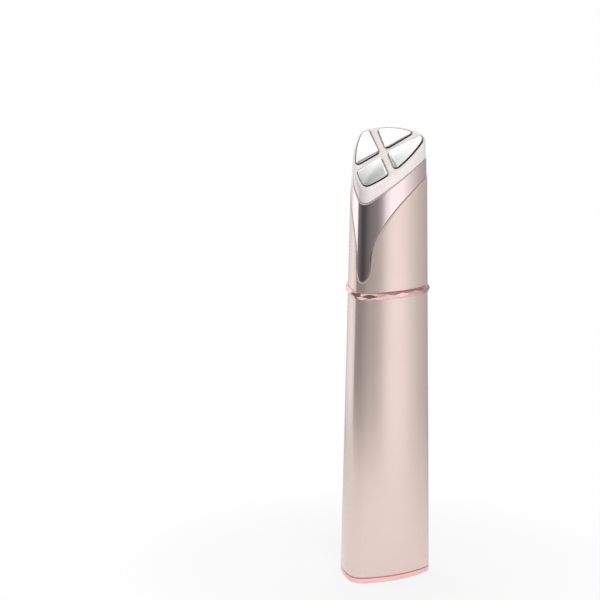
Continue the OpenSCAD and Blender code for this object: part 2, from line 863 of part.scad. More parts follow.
module board_screws() {
    color("dimgray") for (z = board_screw_zs)
        translate([0, board_face, z]) rotate([90, 0, 0])
            screw(board_screw_d, board_face - spine_y - 2 * cell_seat);
}

// The trough behind the cell, with a stop at each end
module battery_trough() {
    z0 = battery_z - tab_t - plate_t;
    z1 = battery_top + tab_t + plate_t;
    difference() {
        translate([0, battery_y, z0]) rod(2 * trough_r, z1 - z0);
        translate([-far / 2, battery_y - far, z0 - 1]) cube([far, far, z1 - z0 + 2]);
    }
}

// The room for the cell and its end contacts, with slots for the contacts' tails
module battery_room() {
    z0 = battery_z - tab_t;
    translate([0, battery_y, z0]) rod(battery_d + 2 * fit_gap, battery_top + tab_t - z0);
    for (z = [battery_z - tab_t, battery_top])
        translate([-tab_w / 2 - fit_gap, battery_y, z - fit_gap / 2])
            cube([tab_w + 2 * fit_gap, far, tab_t + fit_gap]);
}

module motor_holder() {
    difference() {
        translate([0, motor_y, motor_z]) rod(2 * holder_r, grip_l);
        translate([0, motor_y, motor_z - 1]) rod(motor_d + 2 * grip_wall, grip_l + 2);
    }
}

module chassis() {
    color("whitesmoke") difference() {
        union() {
            translate([-spine_w / 2, spine_y, bottom_deck_z])
                cube([spine_w, spine_t, top_deck_z - bottom_deck_z]);
            translate([-neck_w / 2, spine_y, top_deck_z])
                cube([neck_w, spine_t, motor_z + grip_l - top_deck_z]);
            translate([-neck_w / 2, motor_y + motor_d / 2 + grip_wall + fit_gap, motor_z])
                cube([neck_w, spine_y - motor_y - motor_d / 2 - grip_wall, grip_l]);
            battery_trough();
            motor_holder();
            handle(bottom_deck_z, bottom_deck_z + plate_t, chassis_inset);
            handle(top_deck_z, top_deck_z + plate_t, chassis_inset);
            for (z = board_screw_zs) to_back(spine_y, z) rod(board_boss_d, spine_t + standoff_h);
        }
        for (z = board_screw_zs) to_back(0, z) rod(board_screw_d, far);
        battery_room();
        translate([-board_w / 2 - loose_gap, spine_y + spine_t, bottom_deck_z - 1])
            cube([board_w + 2 * loose_gap, board_t + socket_t + standoff_h + loose_gap, plate_t + 2]);
        translate([-ribbon_w / 2 - loose_gap, board_y, top_deck_z - 1])
            cube([ribbon_w + 2 * loose_gap, 2 * board_t, plate_t + 2]);
    }
}

module battery() {
    color("seagreen") translate([0, battery_y, battery_z]) union() {
        rod(battery_d, battery_l);
        rod(nub_d, battery_l + nub_h);
    }
}

module battery_contacts() {
    color("gold") for (z = [battery_z - tab_t, battery_top])
        translate([-tab_w / 2, battery_y - nub_d / 2, z])
            cube([tab_w, board_y - battery_y + nub_d / 2, tab_t]);
}

module motor_grip() {
    color("dimgray") translate([0, motor_y, motor_z]) difference() {
        rod(motor_d + 2 * grip_wall, grip_l);
        translate([0, 0, -1]) rod(motor_d, grip_l + 2);
    }
}

module motor_can() {
    color("silver") translate([0, motor_y, motor_z]) difference() {
        rod(motor_d, motor_l);
        translate([0, 0, motor_l / 2]) rod(shaft_d + 2 * run_gap, motor_l);
    }
}

module motor_shaft() {
    color("gray") translate([0, motor_y, motor_z + motor_l / 2 + loose_gap])
        rod(shaft_d, motor_l / 2 + weight_h + loose_gap);
}

module motor_weight() {
    color("darkgray") translate([0, motor_y, motor_top + 2 * loose_gap]) difference() {
        intersection() {
            rod(weight_d, weight_h);
            translate([-far / 2, -far + shaft_d, -1]) cube([far, far, weight_h + 2]);
        }
        translate([0, 0, -1]) rod(shaft_d, weight_h + 2);
    }
}

// The ribbon cable from the main board, up the back of the handle, to the head board
module head_ribbon() {
    end_h = head_board_h - connector_h - slip;
    up = [-sin(face_tilt), cos(face_tilt)];
    foot = [board_face + ribbon_t / 2 + slip, lens_z + led_l / 2 + loose_gap];
    start = [foot.x, top_deck_z + 2 * plate_t];
    end = [0, face_z] + connector_y * [cos(face_tilt), sin(face_tilt)] + end_h * up;
    route = concat([foot], [
        for (i = [0 : 16]) bezier(start, start + [0, ribbon_slack], end - ribbon_slack / 2 * up, end, i / 16)
    ]);
    sides = concat([[1, 0]], [for (i = [0 : 16])
        let (d = route[min(i + 2, 17)] - route[i]) [d.y, -d.x] / norm(d)]);
    color("orange") translate([-ribbon_w / 2, 0, 0]) rotate([90, 0, 90]) linear_extrude(ribbon_w)
        polygon(concat([for (i = [0 : 17]) route[i] - sides[i] * ribbon_t / 2],
            [for (i = [17 : -1 : 0]) route[i] + sides[i] * ribbon_t / 2]));
}

base_cap();
base_gasket();
lower_housing();
accent_ring();
upper_cover();
polished_sleeve();
head_frame();
front_plate();
left_plate();
right_plate();
top_plate();
heater_film();
press_pad();
head_board();
contact_pins();
head_screw();
power_button();
button_bezel();
button_seal();
switch_body();
switch_plunger();
indicator_lens();
indicator_led();
charge_socket();
charge_tongue();
main_board();
board_screws();
chassis();
battery();
battery_contacts();
motor_grip();
motor_can();
motor_shaft();
motor_weight();
head_ribbon();
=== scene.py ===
# %% [markdown]
# # A heated eye massager wand
# The wand is a slim handle with three bowed sides. A satin shell covers most of it, a faceted ring
# goes round it, and a mirror-bright sleeve shows where the shell is cut away in a swooping line. On
# top is a sloping face with four warm metal plates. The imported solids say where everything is.
# Here nearly every visible piece is rebuilt with fine rounding. The rest keep their solids, and
# each gets a real finish.

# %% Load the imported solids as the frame
import json
import math
import bmesh
import bpy
from mathutils import Matrix, Vector


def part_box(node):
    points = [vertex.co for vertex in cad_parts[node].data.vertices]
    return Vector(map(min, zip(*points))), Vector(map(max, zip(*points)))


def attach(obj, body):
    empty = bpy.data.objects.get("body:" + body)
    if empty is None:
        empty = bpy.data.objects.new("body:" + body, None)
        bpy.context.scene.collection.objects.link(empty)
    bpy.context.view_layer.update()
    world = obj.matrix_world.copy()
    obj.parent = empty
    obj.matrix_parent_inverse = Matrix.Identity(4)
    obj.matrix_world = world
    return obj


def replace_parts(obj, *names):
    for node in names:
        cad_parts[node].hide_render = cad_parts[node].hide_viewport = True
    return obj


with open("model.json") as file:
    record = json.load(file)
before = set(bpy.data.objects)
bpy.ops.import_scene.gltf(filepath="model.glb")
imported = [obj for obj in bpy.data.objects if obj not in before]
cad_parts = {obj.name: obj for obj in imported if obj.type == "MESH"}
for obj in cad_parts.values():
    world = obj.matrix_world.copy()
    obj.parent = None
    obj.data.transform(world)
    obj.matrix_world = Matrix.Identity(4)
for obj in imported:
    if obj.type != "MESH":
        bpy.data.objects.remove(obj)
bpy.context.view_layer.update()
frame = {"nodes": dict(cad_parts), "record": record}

mm = 0.001

# %% [markdown]
# ## The form of the handle
# Every shell follows one section: three small corner arcs joined by three wide arcs, all tangent,
# that shrink evenly towards the top. A point of it could be read off the solids, but a rule gives
# any point, as finely as a mirror finish needs. So the same few sizes as in the solids are
# used again, and a point is named by how far round it is, how high it is and how deep it lies.

# %% Sizes of the section
overall_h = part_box("head_frame")[1].z
corner_c, corner_r, side_r = 12.85 * mm, 4.7 * mm, 35.4 * mm
top_scale = 0.826
least_r = 0.2 * mm
arc_gap = side_r - corner_r
side_k = (math.sqrt(4 * arc_gap ** 2 - 3 * corner_c ** 2) - corner_c) / 2
root3 = math.sqrt(3)
corner_half = math.degrees(math.atan2(side_k * root3 / 2, corner_c + side_k / 2))
shrink = (1 - top_scale) / overall_h
half_arc = corner_r * math.radians(corner_half)
side_len = side_r * math.radians(120 - 2 * corner_half)
third_len = 2 * half_arc + side_len
print("round the base:", round(3 * third_len / mm, 2), "mm, height:", round(overall_h / mm, 2), "mm")


# %% Points of the surface
def unit(degrees):
    return Vector((math.cos(math.radians(degrees)), math.sin(math.radians(degrees))))


def turned(p, degrees):
    u = unit(degrees)
    return Vector((p.x * u.x - p.y * u.y, p.x * u.y + p.y * u.x))


def taper(z):
    return 1 - shrink * z


def arc_point(q, s, inset):
    """A point of one third of the section, whose normal is q degrees from the corner."""
    if q <= corner_half:
        return Vector((corner_c * s, 0)) + max(corner_r * s - inset, least_r) * unit(q)
    return (side_r * s - inset) * unit(q) - side_k * s * unit(60)


def ridge_and_normal(a):
    """The turn of the nearest ridge, and the angle of the normal from it, a length round the base."""
    ridge, along = divmod(a, third_len)
    if along < half_arc:
        q = math.degrees(along / corner_r)
    elif along < half_arc + side_len:
        q = corner_half + math.degrees((along - half_arc) / side_r)
    else:
        q = 120 - corner_half + math.degrees((along - half_arc - side_len) / corner_r)
    if q > 120 - corner_half:
        return 120 * (ridge + 1) - 90, q - 120
    return 120 * ridge - 90, q


def surface_at(a, z, inset=0.0):
    turn, q = ridge_and_normal(a)
    p = turned(arc_point(q, taper(z), inset), turn)
    return Vector((p.x, p.y, z))


round_steps = 240
around = [3 * third_len * i / round_steps for i in range(round_steps)]


def level_row(z, inset):
    return [surface_at(a, z, inset) for a in around]


# %% [markdown]
# ## Lofting
# A shell like this could be cut out of a block, but a loft is cleaner: one ring of vertices is
# extruded again and again, and each new ring is laid on the next row of points. The vertices
# remember their number in an integer layer, so every row can be placed by a rule.

# %% Loft, fill and finish helpers
def loft(bm, rows):
    """Extrudes a ring of vertices through the rows, and gives back the first and last loop of edges."""
    order = bm.verts.layers.int.get("order") or bm.verts.layers.int.new("order")
    ring = bmesh.ops.create_circle(bm, segments=len(rows[0]), radius=mm)["verts"]
    for i, vert in enumerate(ring):
        vert[order] = i
        vert.co = rows[0][i]
    first = edges = list({edge for vert in ring for edge in vert.link_edges})
    for row in rows[1:]:
        made = bmesh.ops.extrude_edge_only(bm, edges=edges)["geom"]
        for vert in (g for g in made if isinstance(g, bmesh.types.BMVert)):
            vert.co = row[vert[order]]
        edges = [g for g in made if isinstance(g, bmesh.types.BMEdge)]
    return first, edges


def cap(bm, edges):
    bmesh.ops.contextual_create(bm, geom=edges)


def quarter(steps=4):
    """Sines and cosines of a quarter turn, for rounding an edge."""
    return [(math.sin(t), math.cos(t)) for t in (math.pi / 2 * i / steps for i in range(steps + 1))]


shell_sharp = 32


def finish_piece(name, bm, nodes, slot, body="wand", sharp=shell_sharp):
    """Merges doubles, turns the faces outwards, and hands the piece to its body, nodes and finish."""
    bmesh.ops.remove_doubles(bm, verts=bm.verts, dist=0.0005 * mm)
    bmesh.ops.recalc_face_normals(bm, faces=bm.faces)
    mesh = bpy.data.meshes.new(name)
    bm.to_mesh(mesh)
    bm.free()
    mesh.shade_smooth()
    mesh.set_sharp_from_angle(angle=math.radians(sharp))
    piece = bpy.data.objects.new(name, mesh)
    bpy.context.scene.collection.objects.link(piece)
    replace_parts(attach(piece, body), *nodes)
    piece.data.materials.append(finishes[slot])
    loose = sum(1 for edge in mesh.edges if edge.is_loose)
    print(f"{name}: {len(mesh.polygons)} faces, {loose} loose edges")
    return piece


def cut(piece, form):
    """Takes another form out of a piece, and removes that form."""
    holder = bpy.data.objects.new("form", form)
    bpy.context.scene.collection.objects.link(holder)
    tool = piece.modifiers.new("cut", "BOOLEAN")
    tool.operation, tool.solver, tool.object = "DIFFERENCE", "EXACT", holder
    graph = bpy.context.evaluated_depsgraph_get()
    mesh = bpy.data.meshes.new_from_object(piece.evaluated_get(graph))
    piece.modifiers.clear()
    old, piece.data = piece.data, mesh
    mesh.name = piece.name
    mesh.set_sharp_from_angle(angle=math.radians(shell_sharp))
    bpy.data.meshes.remove(old)
    bpy.data.objects.remove(holder)


def mesh_of(bm):
    bmesh.ops.recalc_face_normals(bm, faces=bm.faces)
    mesh = bpy.data.meshes.new("form")
    bm.to_mesh(mesh)
    bm.free()
    return mesh


# %% [markdown]
# ## Patterns for the finishes
# No real surface is one flat colour. Two small shader groups give what these finishes show close
# up. One gives fine speckle, as in metallic lacquer and moulded plastic, and soft smudges from
# handling, which change the gloss. The other gives fine streaks, as from brushing and drawing. They
# put out plain values, and each material says how much of them it wants.

# %% Shader groups
def new_group(name, inputs, outputs):
    group = bpy.data.node_groups.new(name, "ShaderNodeTree")
    for label, default in inputs:
        socket = group.interface.new_socket(label, in_out="INPUT", socket_type="NodeSocketFloat")
        socket.default_value = default
    for label in outputs:
        group.interface.new_socket(label, in_out="OUTPUT", socket_type="NodeSocketFloat")
    return group, group.nodes.new("NodeGroupInput"), group.nodes.new("NodeGroupOutput")


def speckle_group():
    """Fine grains: Speckle is from 0 to 1, and Smudge is a slow change over the surface."""
    group, given, made = new_group("speckle", [("Grain", 6000.0), ("Smudge Size", 70.0)],
                                   ["Speckle", "Smudge"])
    coords = group.nodes.new("ShaderNodeTexCoord")
    for label, source, detail in (("Speckle", "Grain", 1.0), ("Smudge", "Smudge Size", 3.0)):
        noise = group.nodes.new("ShaderNodeTexNoise")
        noise.inputs["Detail"].default_value = detail
        group.links.new(coords.outputs["Object"], noise.inputs["Vector"])
        group.links.new(given.outputs[source], noise.inputs["Scale"])
        group.links.new(noise.outputs["Fac"], made.inputs[label])
    return group


def streak_group():
    """Long fine streaks: a small X, Y or Z draws the grain out that way."""
    group, given, made = new_group("streaks", [("X", 1.0), ("Y", 1.0), ("Z", 0.05), ("Grain", 4000.0)],
                                   ["Streak"])
    coords = group.nodes.new("ShaderNodeTexCoord")
    stretch = group.nodes.new("ShaderNodeCombineXYZ")
    for axis in "XYZ":
        group.links.new(given.outputs[axis], stretch.inputs[axis])
    scaled = group.nodes.new("ShaderNodeVectorMath")
    scaled.operation = "MULTIPLY"
    group.links.new(coords.outputs["Object"], scaled.inputs[0])
    group.links.new(stretch.outputs["Vector"], scaled.inputs[1])
    noise = group.nodes.new("ShaderNodeTexNoise")
    noise.inputs["Detail"].default_value = 2.0
    group.links.new(scaled.outputs["Vector"], noise.inputs["Vector"])
    group.links.new(given.outputs["Grain"], noise.inputs["Scale"])
    group.links.new(noise.outputs["Fac"], made.inputs["Streak"])
    return group


speckle, streaks = speckle_group(), streak_group()
print("groups:", [g.name for g in bpy.data.node_groups])


# %% Building one material from the groups
def add_group(tree, group, values):
    node = tree.nodes.new("ShaderNodeGroup")
    node.node_tree = group
    for label, value in values.items():
        node.inputs[label].default_value = value
    return node


def blend_colours(tree, factor, low, high):
    """A colour that goes from low to high as the factor does."""
    mix = tree.nodes.new("ShaderNodeMix")
    mix.data_type = "RGBA"
    tree.links.new(factor, mix.inputs[0])
    mix.inputs[6].default_value = (*low, 1)
    mix.inputs[7].default_value = (*high, 1)
    return mix.outputs[2]


middle_from, middle_to = 0.3, 0.7


def blend_values(tree, factor, low, high):
    """A value that goes from low to high over the middle of the factor's range."""
    span = tree.nodes.new("ShaderNodeMapRange")
    span.inputs["From Min"].default_value = middle_from
    span.inputs["From Max"].default_value = middle_to
    span.inputs["To Min"].default_value = low
    span.inputs["To Max"].default_value = high
    tree.links.new(factor, span.inputs["Value"])
    return span.outputs["Result"]


def shade(colour, amount):
    """A colour made lighter or darker."""
    return tuple(min(c * amount, 1.0) for c in colour)


finishes, bump_depth = {}, 0.02 * mm


def make_finish(name, colour, metallic, rough, spread=0.04, tone=0.04, grain=6000.0, bump=0.0,
                streak=None, **sockets):
    """Adds a Principled material whose colour, gloss and relief vary with the groups' patterns."""
    material = bpy.data.materials.new(name)
    material.use_nodes = True
    tree = material.node_tree
    shader = tree.nodes["Principled BSDF"]
    marks = add_group(tree, speckle, {"Grain": grain})
    fine = marks.outputs["Speckle"]
    if streak:
        fine = add_group(tree, streaks, dict(zip("XYZ", streak))).outputs["Streak"]
    colours = blend_colours(tree, fine, shade(colour, 1 - tone), shade(colour, 1 + tone))
    tree.links.new(colours, shader.inputs["Base Color"])
    gloss = blend_values(tree, marks.outputs["Smudge"], max(rough - spread, 0.01), rough + spread)
    tree.links.new(gloss, shader.inputs["Roughness"])
    shader.inputs["Metallic"].default_value = metallic
    for label, value in sockets.items():
        shader.inputs[label.replace("_", " ")].default_value = value
    if bump:
        relief = tree.nodes.new("ShaderNodeBump")
        relief.inputs["Strength"].default_value = bump
        relief.inputs["Distance"].default_value = bump_depth
        tree.links.new(fine, relief.inputs["Height"])
        tree.links.new(relief.outputs["Normal"], shader.inputs["Normal"])
    finishes[name] = material


# %% [markdown]
# ## The finishes
# The shell's satin is a metallic lacquer. It is partly metal and partly paint, and so rough that it
# shows only soft bands. The sleeve and the ring are plated, so they are bare metal with hardly any
# roughness. The head and the base cap are glossy plastic under a clear coat. Inside are the plain
# finishes of electronics. A finish is a name, a colour, how metallic and how rough it is, how much the
# roughness and the tone vary, how fine the grain is, how deep it is and which way its streaks run.
# What only a few need, such as a clear coat, comes after that by its socket's name.

# %% Finishes of the outside
gloss_coat = {"Coat_Weight": 0.5, "Coat_Roughness": 0.1}
head_coat = {"Coat_Weight": 0.6, "Coat_Roughness": 0.08}
upright, along_slope = (1.0, 1.0, 0.05), (1.0, 0.06, 0.06)
plate_top = (0.93, 0.93, 0.92)
make_finish("satin_shell", (0.78, 0.635, 0.58), 0.66, 0.235, 0.02, 0.05, 9000, 0.05)
make_finish("polished_metal", (0.88, 0.725, 0.735), 1.0, 0.08, 0.015, 0.01, 3000)
make_finish("rose_metal", (0.88, 0.56, 0.54), 1.0, 0.14, 0.02, 0.02, 5000)
make_finish("blush_gloss", (0.95, 0.53, 0.54), 0.0, 0.31, 0.02, 0.02, 4000, **gloss_coat)
make_finish("cream_gloss", (0.92, 0.85, 0.82), 0.08, 0.31, 0.02, 0.015, 4000, **head_coat)
make_finish("plate_metal", plate_top, 1.0, 0.13, 0.03, 0.02, 5000, 0.03, along_slope)
make_finish("button_metal", (0.86, 0.66, 0.61), 1.0, 0.24, 0.02, 0.03, 8000, 0.04)
make_finish("gasket_rubber", (0.42, 0.22, 0.20), 0.0, 0.6, 0.05, 0.08, 3000, 0.2)
make_finish("window_plastic", (0.90, 0.90, 0.88), 0.0, 0.22, 0.03, 0.03, 4000, Transmission_Weight=0.3)
make_finish("socket_steel", (0.72, 0.72, 0.73), 1.0, 0.24, 0.04, 0.04, 5000, 0.04, upright)
print("finishes of the outside:", len(finishes))

# %% Finishes of the inside
make_finish("silicone", (0.78, 0.78, 0.76), 0.0, 0.55, 0.05, 0.03, 2500, 0.1, Subsurface_Weight=0.1)
make_finish("film", (0.72, 0.38, 0.08), 0.0, 0.3, 0.05, 0.08, 2000, 0.05, Coat_Weight=0.4)
make_finish("circuit_board", (0.03, 0.22, 0.09), 0.0, 0.35, 0.05, 0.15, 1500, 0.1, Coat_Weight=0.3)
make_finish("gold_contact", (0.92, 0.70, 0.32), 1.0, 0.2, 0.04, 0.03, 4000)
make_finish("screw_steel", (0.60, 0.60, 0.62), 1.0, 0.3, 0.05, 0.05, 4000, 0.05)
make_finish("switch_plastic", (0.03, 0.03, 0.032), 0.0, 0.45, 0.05, 0.2, 4000, 0.15)
make_finish("white_plastic", (0.84, 0.84, 0.82), 0.0, 0.45, 0.05, 0.02, 3500, 0.15)
make_finish("led_resin", (0.90, 0.78, 0.30), 0.0, 0.3, 0.04, 0.06, 3000)
make_finish("cell_wrap", (0.10, 0.40, 0.28), 0.0, 0.35, 0.05, 0.05, 1500, 0.05, Coat_Weight=0.4)
make_finish("motor_steel", (0.66, 0.66, 0.67), 1.0, 0.28, 0.05, 0.05, 4000, 0.05, upright)
make_finish("weight_metal", (0.42, 0.41, 0.40), 1.0, 0.4, 0.05, 0.06, 2500, 0.15)
make_finish("grip_rubber", (0.05, 0.05, 0.05), 0.0, 0.7, 0.05, 0.2, 3000, 0.2)
print("finishes:", len(finishes))

# %% [markdown]
# ## Base cap
# A thin glossy cap closes the lower end, with a plug that slides into the housing and a slot for
# the charging inlet. It is one loft from the rim of the foot, round the outside and over the plug,
# closed by two caps. The slot is cut out afterwards, as a milling cutter would.

# %% Sizes of the base
cap_h, cap_round, plug_h, plug_wall = 1.8 * mm, 0.7 * mm, 3.2 * mm, 1.2 * mm
gasket_t, fit_gap = 0.4 * mm, 0.15 * mm
housing_wall = 1.8 * mm
housing_z = cap_h + gasket_t
plug_inset = housing_wall + fit_gap
edge_r = 0.12 * mm

# %% Base cap
bm = bmesh.new()
rows = [level_row(cap_round * (1 - c), cap_round * (1 - s)) for s, c in quarter(6)]
rows += [level_row(cap_h - edge_r * (1 - s), edge_r * (1 - c)) for s, c in quarter(3)]
rows += [level_row(cap_h, plug_inset), level_row(cap_h + plug_h, plug_inset),
         level_row(cap_h + plug_h, plug_inset + plug_wall), level_row(cap_h, plug_inset + plug_wall)]
foot, inner = loft(bm, rows)
cap(bm, foot)
cap(bm, inner)
base_cap = finish_piece("base_cap_gloss", bm, ["base_cap"], "blush_gloss")


# %% Charging inlet and its slot in the cap
def slot_row(centre, width, thick, z, steps=48):
    """A ring round a slot with round ends, that lies level at height z."""
    r = thick / 2
    row = []
    for i in range(steps):
        u = unit(360 * (i + 0.5) / steps)
        row.append(Vector((math.copysign(width / 2 - r, u.x) + r * u.x, centre + r * u.y, z)))
    return row


shell_low, shell_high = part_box("charge_socket")
socket_y = (shell_low.y + shell_high.y) / 2
socket_w, socket_t = shell_high.x - shell_low.x, shell_high.y - shell_low.y
socket_wall = 0.35 * mm
lip_r = socket_wall / 2
bm = bmesh.new()
for edges in loft(bm, [slot_row(socket_y, socket_w + 2 * fit_gap, socket_t + 2 * fit_gap, z)
                       for z in (-mm, cap_h + mm)]):
    cap(bm, edges)
cut(base_cap, mesh_of(bm))


def shell_row(depth, z):
    return slot_row(socket_y, socket_w - 2 * depth, socket_t - 2 * depth, z)


bm = bmesh.new()
rows = [shell_row(0, shell_high.z)]
rows += [shell_row(lip_r * (1 - c), shell_low.z + lip_r * (1 - s)) for s, c in quarter()]
rows += [shell_row(socket_wall - lip_r * (1 - s), shell_low.z + lip_r * (1 - c)) for s, c in quarter()]
rows += [shell_row(socket_wall, shell_high.z - socket_wall)]
for edges in loft(bm, rows):
    cap(bm, edges)
finish_piece("inlet_shell", bm, ["charge_socket"], "socket_steel")
print("inlet, mm:", round(socket_w / mm, 2), "by", round(socket_t / mm, 2))

# %% [markdown]
# ## Lower housing
# This is the satin shell below the ring. Its outside is ruled, so two rows would give its shape, but
# many rows keep the faces small, and so the cut edges round the button and the window stay tidy. The
# holes go through one wall only, so each cutter is a short round block behind the long axis.

# %% Lower housing
ring_low, ring_high = (corner.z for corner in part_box("accent_ring"))
button_low, button_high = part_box("power_button")
button_z = (button_low.z + button_high.z) / 2
bezel_low, bezel_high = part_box("button_bezel")
bezel_r = (bezel_high.x - bezel_low.x) / 2
lens_low, lens_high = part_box("indicator_lens")
lens_z = (lens_low.z + lens_high.z) / 2
lens_r = 1.2 * mm
slip, hole_from, hole_to = 0.01 * mm, 4 * mm, 30 * mm
print("button and window heights, mm:", round(button_z / mm, 2), round(lens_z / mm, 2))


def tube_rows(z0, z1, outer, inner, steps):
    """Rows of a wall from its lower inner edge, out, up and in again, with small rounded edges."""
    rows = [level_row(z0, inner)]
    rows += [level_row(z0 + edge_r * (1 - c), outer + edge_r * (1 - s)) for s, c in quarter(3)]
    straight = z1 - z0 - 2 * edge_r
    rows += [level_row(z0 + edge_r + straight * i / steps, outer) for i in range(1, steps)]
    rows += [level_row(z1 - edge_r * (1 - s), outer + edge_r * (1 - c)) for s, c in quarter(3)]
    return rows + [level_row(z1, inner), rows[0]]


def round_block(r, z):
    """A round block that reaches out of the wand's back."""
    bm = bmesh.new()
    rows = [[Vector((r * unit(5 * i).x, y, z + r * unit(5 * i).y)) for i in range(72)]
            for y in (hole_from, hole_to)]
    for edges in loft(bm, rows):
        cap(bm, edges)
    return mesh_of(bm)


bm = bmesh.new()
loft(bm, tube_rows(housing_z, ring_low, 0, housing_wall, 60))
housing = finish_piece("lower_housing_satin", bm, ["lower_housing"], "satin_shell")
cut(housing, round_block(bezel_r + slip, button_z))
cut(housing, round_block(lens_r + slip, lens_z))

# %% [markdown]
# ## The swooping seam
# The shell is cut away in one line: level under a blunt tongue at the front ridge, steeply up both
# its sides, then over to the back. On the wrapped surface that line would be hard to write, so it
# is drawn flat, as on a label that is rolled round the handle. Two cubic curves make half of it.
# The shell and the sleeve under it both take their edge from it, which is why they always fit.

# %% The seam on the unrolled surface
seam_back_z = overall_h - 11.9 * mm
tongue_tip = Vector((0, (ring_low + ring_high) / 2 + 4.7 * mm))
tongue_turn = Vector((3.45 * mm, tongue_tip.y + 7.2 * mm))
tongue_blunt, seam_rise, seam_reach, seam_gap = 0.63, 13.3 * mm, 23.2 * mm, 0.15 * mm
seam_end = Vector((1.5 * third_len, seam_back_z))


def bezier(a, b, c, d, t):
    return (1 - t) ** 3 * a + 3 * (1 - t) ** 2 * t * b + 3 * (1 - t) * t ** 2 * c + t ** 3 * d


def even_steps(points, spacing):
    """Points at even steps along a fine polyline, with how far along each of them is, from 0 to 1."""
    reach = [0.0]
    for p, q in zip(points, points[1:]):
        reach.append(reach[-1] + (q - p).length)
    count = round(reach[-1] / spacing)
    even, j = [], 0
    for i in range(count + 1):
        at = reach[-1] * i / count
        while j < len(points) - 2 and reach[j + 1] < at:
            j += 1
        even.append(points[j].lerp(points[j + 1], min((at - reach[j]) / (reach[j + 1] - reach[j]), 1)))
    return even, [i / count for i in range(count + 1)]


fine = [bezier(tongue_tip, Vector((tongue_blunt * tongue_turn.x, tongue_tip.y)),
               Vector((tongue_turn.x, (tongue_tip.y + tongue_turn.y) / 2)), tongue_turn, i / 200)
        for i in range(200)]
fine += [bezier(tongue_turn, tongue_turn + Vector((0, seam_rise)), seam_end - Vector((seam_reach, 0)),
                seam_end, i / 600) for i in range(601)]
seam_half, seam_share = even_steps(fine, 0.27 * mm)
seam_last = len(seam_half) - 1
print("half of the seam:", seam_last + 1, "points")


def whole_turn(half):
    """A row right round the wand, from a rule for the front ridge's right half."""
    right = [half(i, 1) for i in range(seam_last + 1)]
    return right + [half(i, -1) for i in range(seam_last - 1, 0, -1)]


def seam_at(i, gap):
    """A point of the seam on the unrolled surface, moved a gap away from the satin shell."""
    along = (seam_half[min(i + 1, seam_last)] - seam_half[max(i - 1, 0)]).normalized()
    if i in (0, seam_last):
        along = Vector((1, 0))
    return seam_half[i] + gap * Vector((-along.y, along.x))


def seam_row(gap, inset):
    return whole_turn(lambda i, side: surface_at(side * seam_at(i, gap).x, seam_at(i, gap).y, inset))


def spread(i):
    """Where a line from a point of the seam meets a level edge, measured round the base."""
    return seam_share[i] * 1.5 * third_len


def shell_rows(gap, inset, level, steps, ends=(0, 1)):
    """Rows that run over the surface from a level edge to the seam, or back."""
    def row(t):
        def half(i, side):
            at, edge = seam_at(i, gap), Vector((spread(i), level(spread(i))))
            p = edge.lerp(at, t)
            return surface_at(side * p.x, p.y, inset)
        return whole_turn(half)
    return [row(ends[0] + (ends[1] - ends[0]) * i / steps) for i in range(steps + 1)]


# %% Satin cover
cover_wall, soft_r, cover_r = 1.0 * mm, 0.14 * mm, 0.32 * mm
bm = bmesh.new()
rows = [whole_turn(lambda i, side: surface_at(side * spread(i), ring_high + edge_r * (1 - c),
                                              edge_r * (1 - s))) for s, c in quarter(3)][:-1]
rows += shell_rows(-cover_r, 0, lambda a: ring_high + edge_r, 36)
rows += [seam_row(-cover_r * (1 - s), cover_r * (1 - c)) for s, c in quarter(5)][1:]
rows += shell_rows(0, cover_wall, lambda a: ring_high, 12, (1, 0))
loft(bm, rows + rows[:1])
finish_piece("upper_cover_satin", bm, ["upper_cover"], "satin_shell")

# %% [markdown]
# ## Polished sleeve
# Under the satin cover sits a plated sleeve, whose bright land lies a little lower than the satin.
# Its top edge follows the head's seam, which is an arc in the side view. That arc goes through a
# point on the front ridge and one on the back, each a known depth under the face. A mirror shows
# every ripple of a mesh, so its rows are close, and they fan out smoothly from the tongue.

# %% Sloping face and head seam
face_tilt = 35.2
tilt_sin, tilt_cos = unit(face_tilt).y, unit(face_tilt).x
tilt_tan = tilt_sin / tilt_cos
head_inset, head_round = 0.55 * mm, 0.9 * mm
head_side_front, head_side_back, head_seam_bow = 5.5 * mm, 7.8 * mm, 1.8 * mm
back_top = (side_r - side_k) * top_scale - head_inset
face_z = overall_h - tilt_tan * back_top \
    + head_round * (1 + tilt_sin - math.sqrt(1 + tilt_sin ** 2)) / tilt_cos


def side_point(base_y, depth):
    z = face_z + tilt_tan * base_y * top_scale - depth
    return Vector((base_y * taper(z), z))


seam_front = side_point(-corner_c - corner_r, head_side_front)
seam_rear = side_point(side_r - side_k, head_side_back)
chord = seam_rear - seam_front
head_seam_r = ((chord.length / 2) ** 2 + head_seam_bow ** 2) / (2 * head_seam_bow)
head_seam_c = (seam_front + seam_rear) / 2 \
    + (head_seam_r - head_seam_bow) * Vector((chord.y, -chord.x)).normalized()


def head_seam_z(a, inset, lift=0.0):
    """Height of the head's seam at a place round the wand; lift moves the arc outwards."""
    z = face_z
    for _ in range(12):
        y = surface_at(a, z, inset).y
        z = head_seam_c.y + math.sqrt((head_seam_r + lift) ** 2 - (y - head_seam_c.x) ** 2)
    return z


print("face at the axis, mm:", round(face_z / mm, 3))
print("radius of the head's seam, mm:", round(head_seam_r / mm, 2))

# %% Polished sleeve
land_inset, sleeve_wall, spigot_l, step_h = 0.25 * mm, 1.2 * mm, 5 * mm, 1.2 * mm
sleeve_inset = cover_wall + fit_gap
bore_inset = sleeve_inset + sleeve_wall
spigot_inset = housing_wall + fit_gap
spigot_bore = spigot_inset + sleeve_wall


def sleeve_level(z, inset):
    return whole_turn(lambda i, side: surface_at(side * spread(i), z, inset))


def sleeve_top(inset, lift=0.0):
    return whole_turn(lambda i, side: surface_at(
        side * spread(i), head_seam_z(side * spread(i), inset, lift), inset))


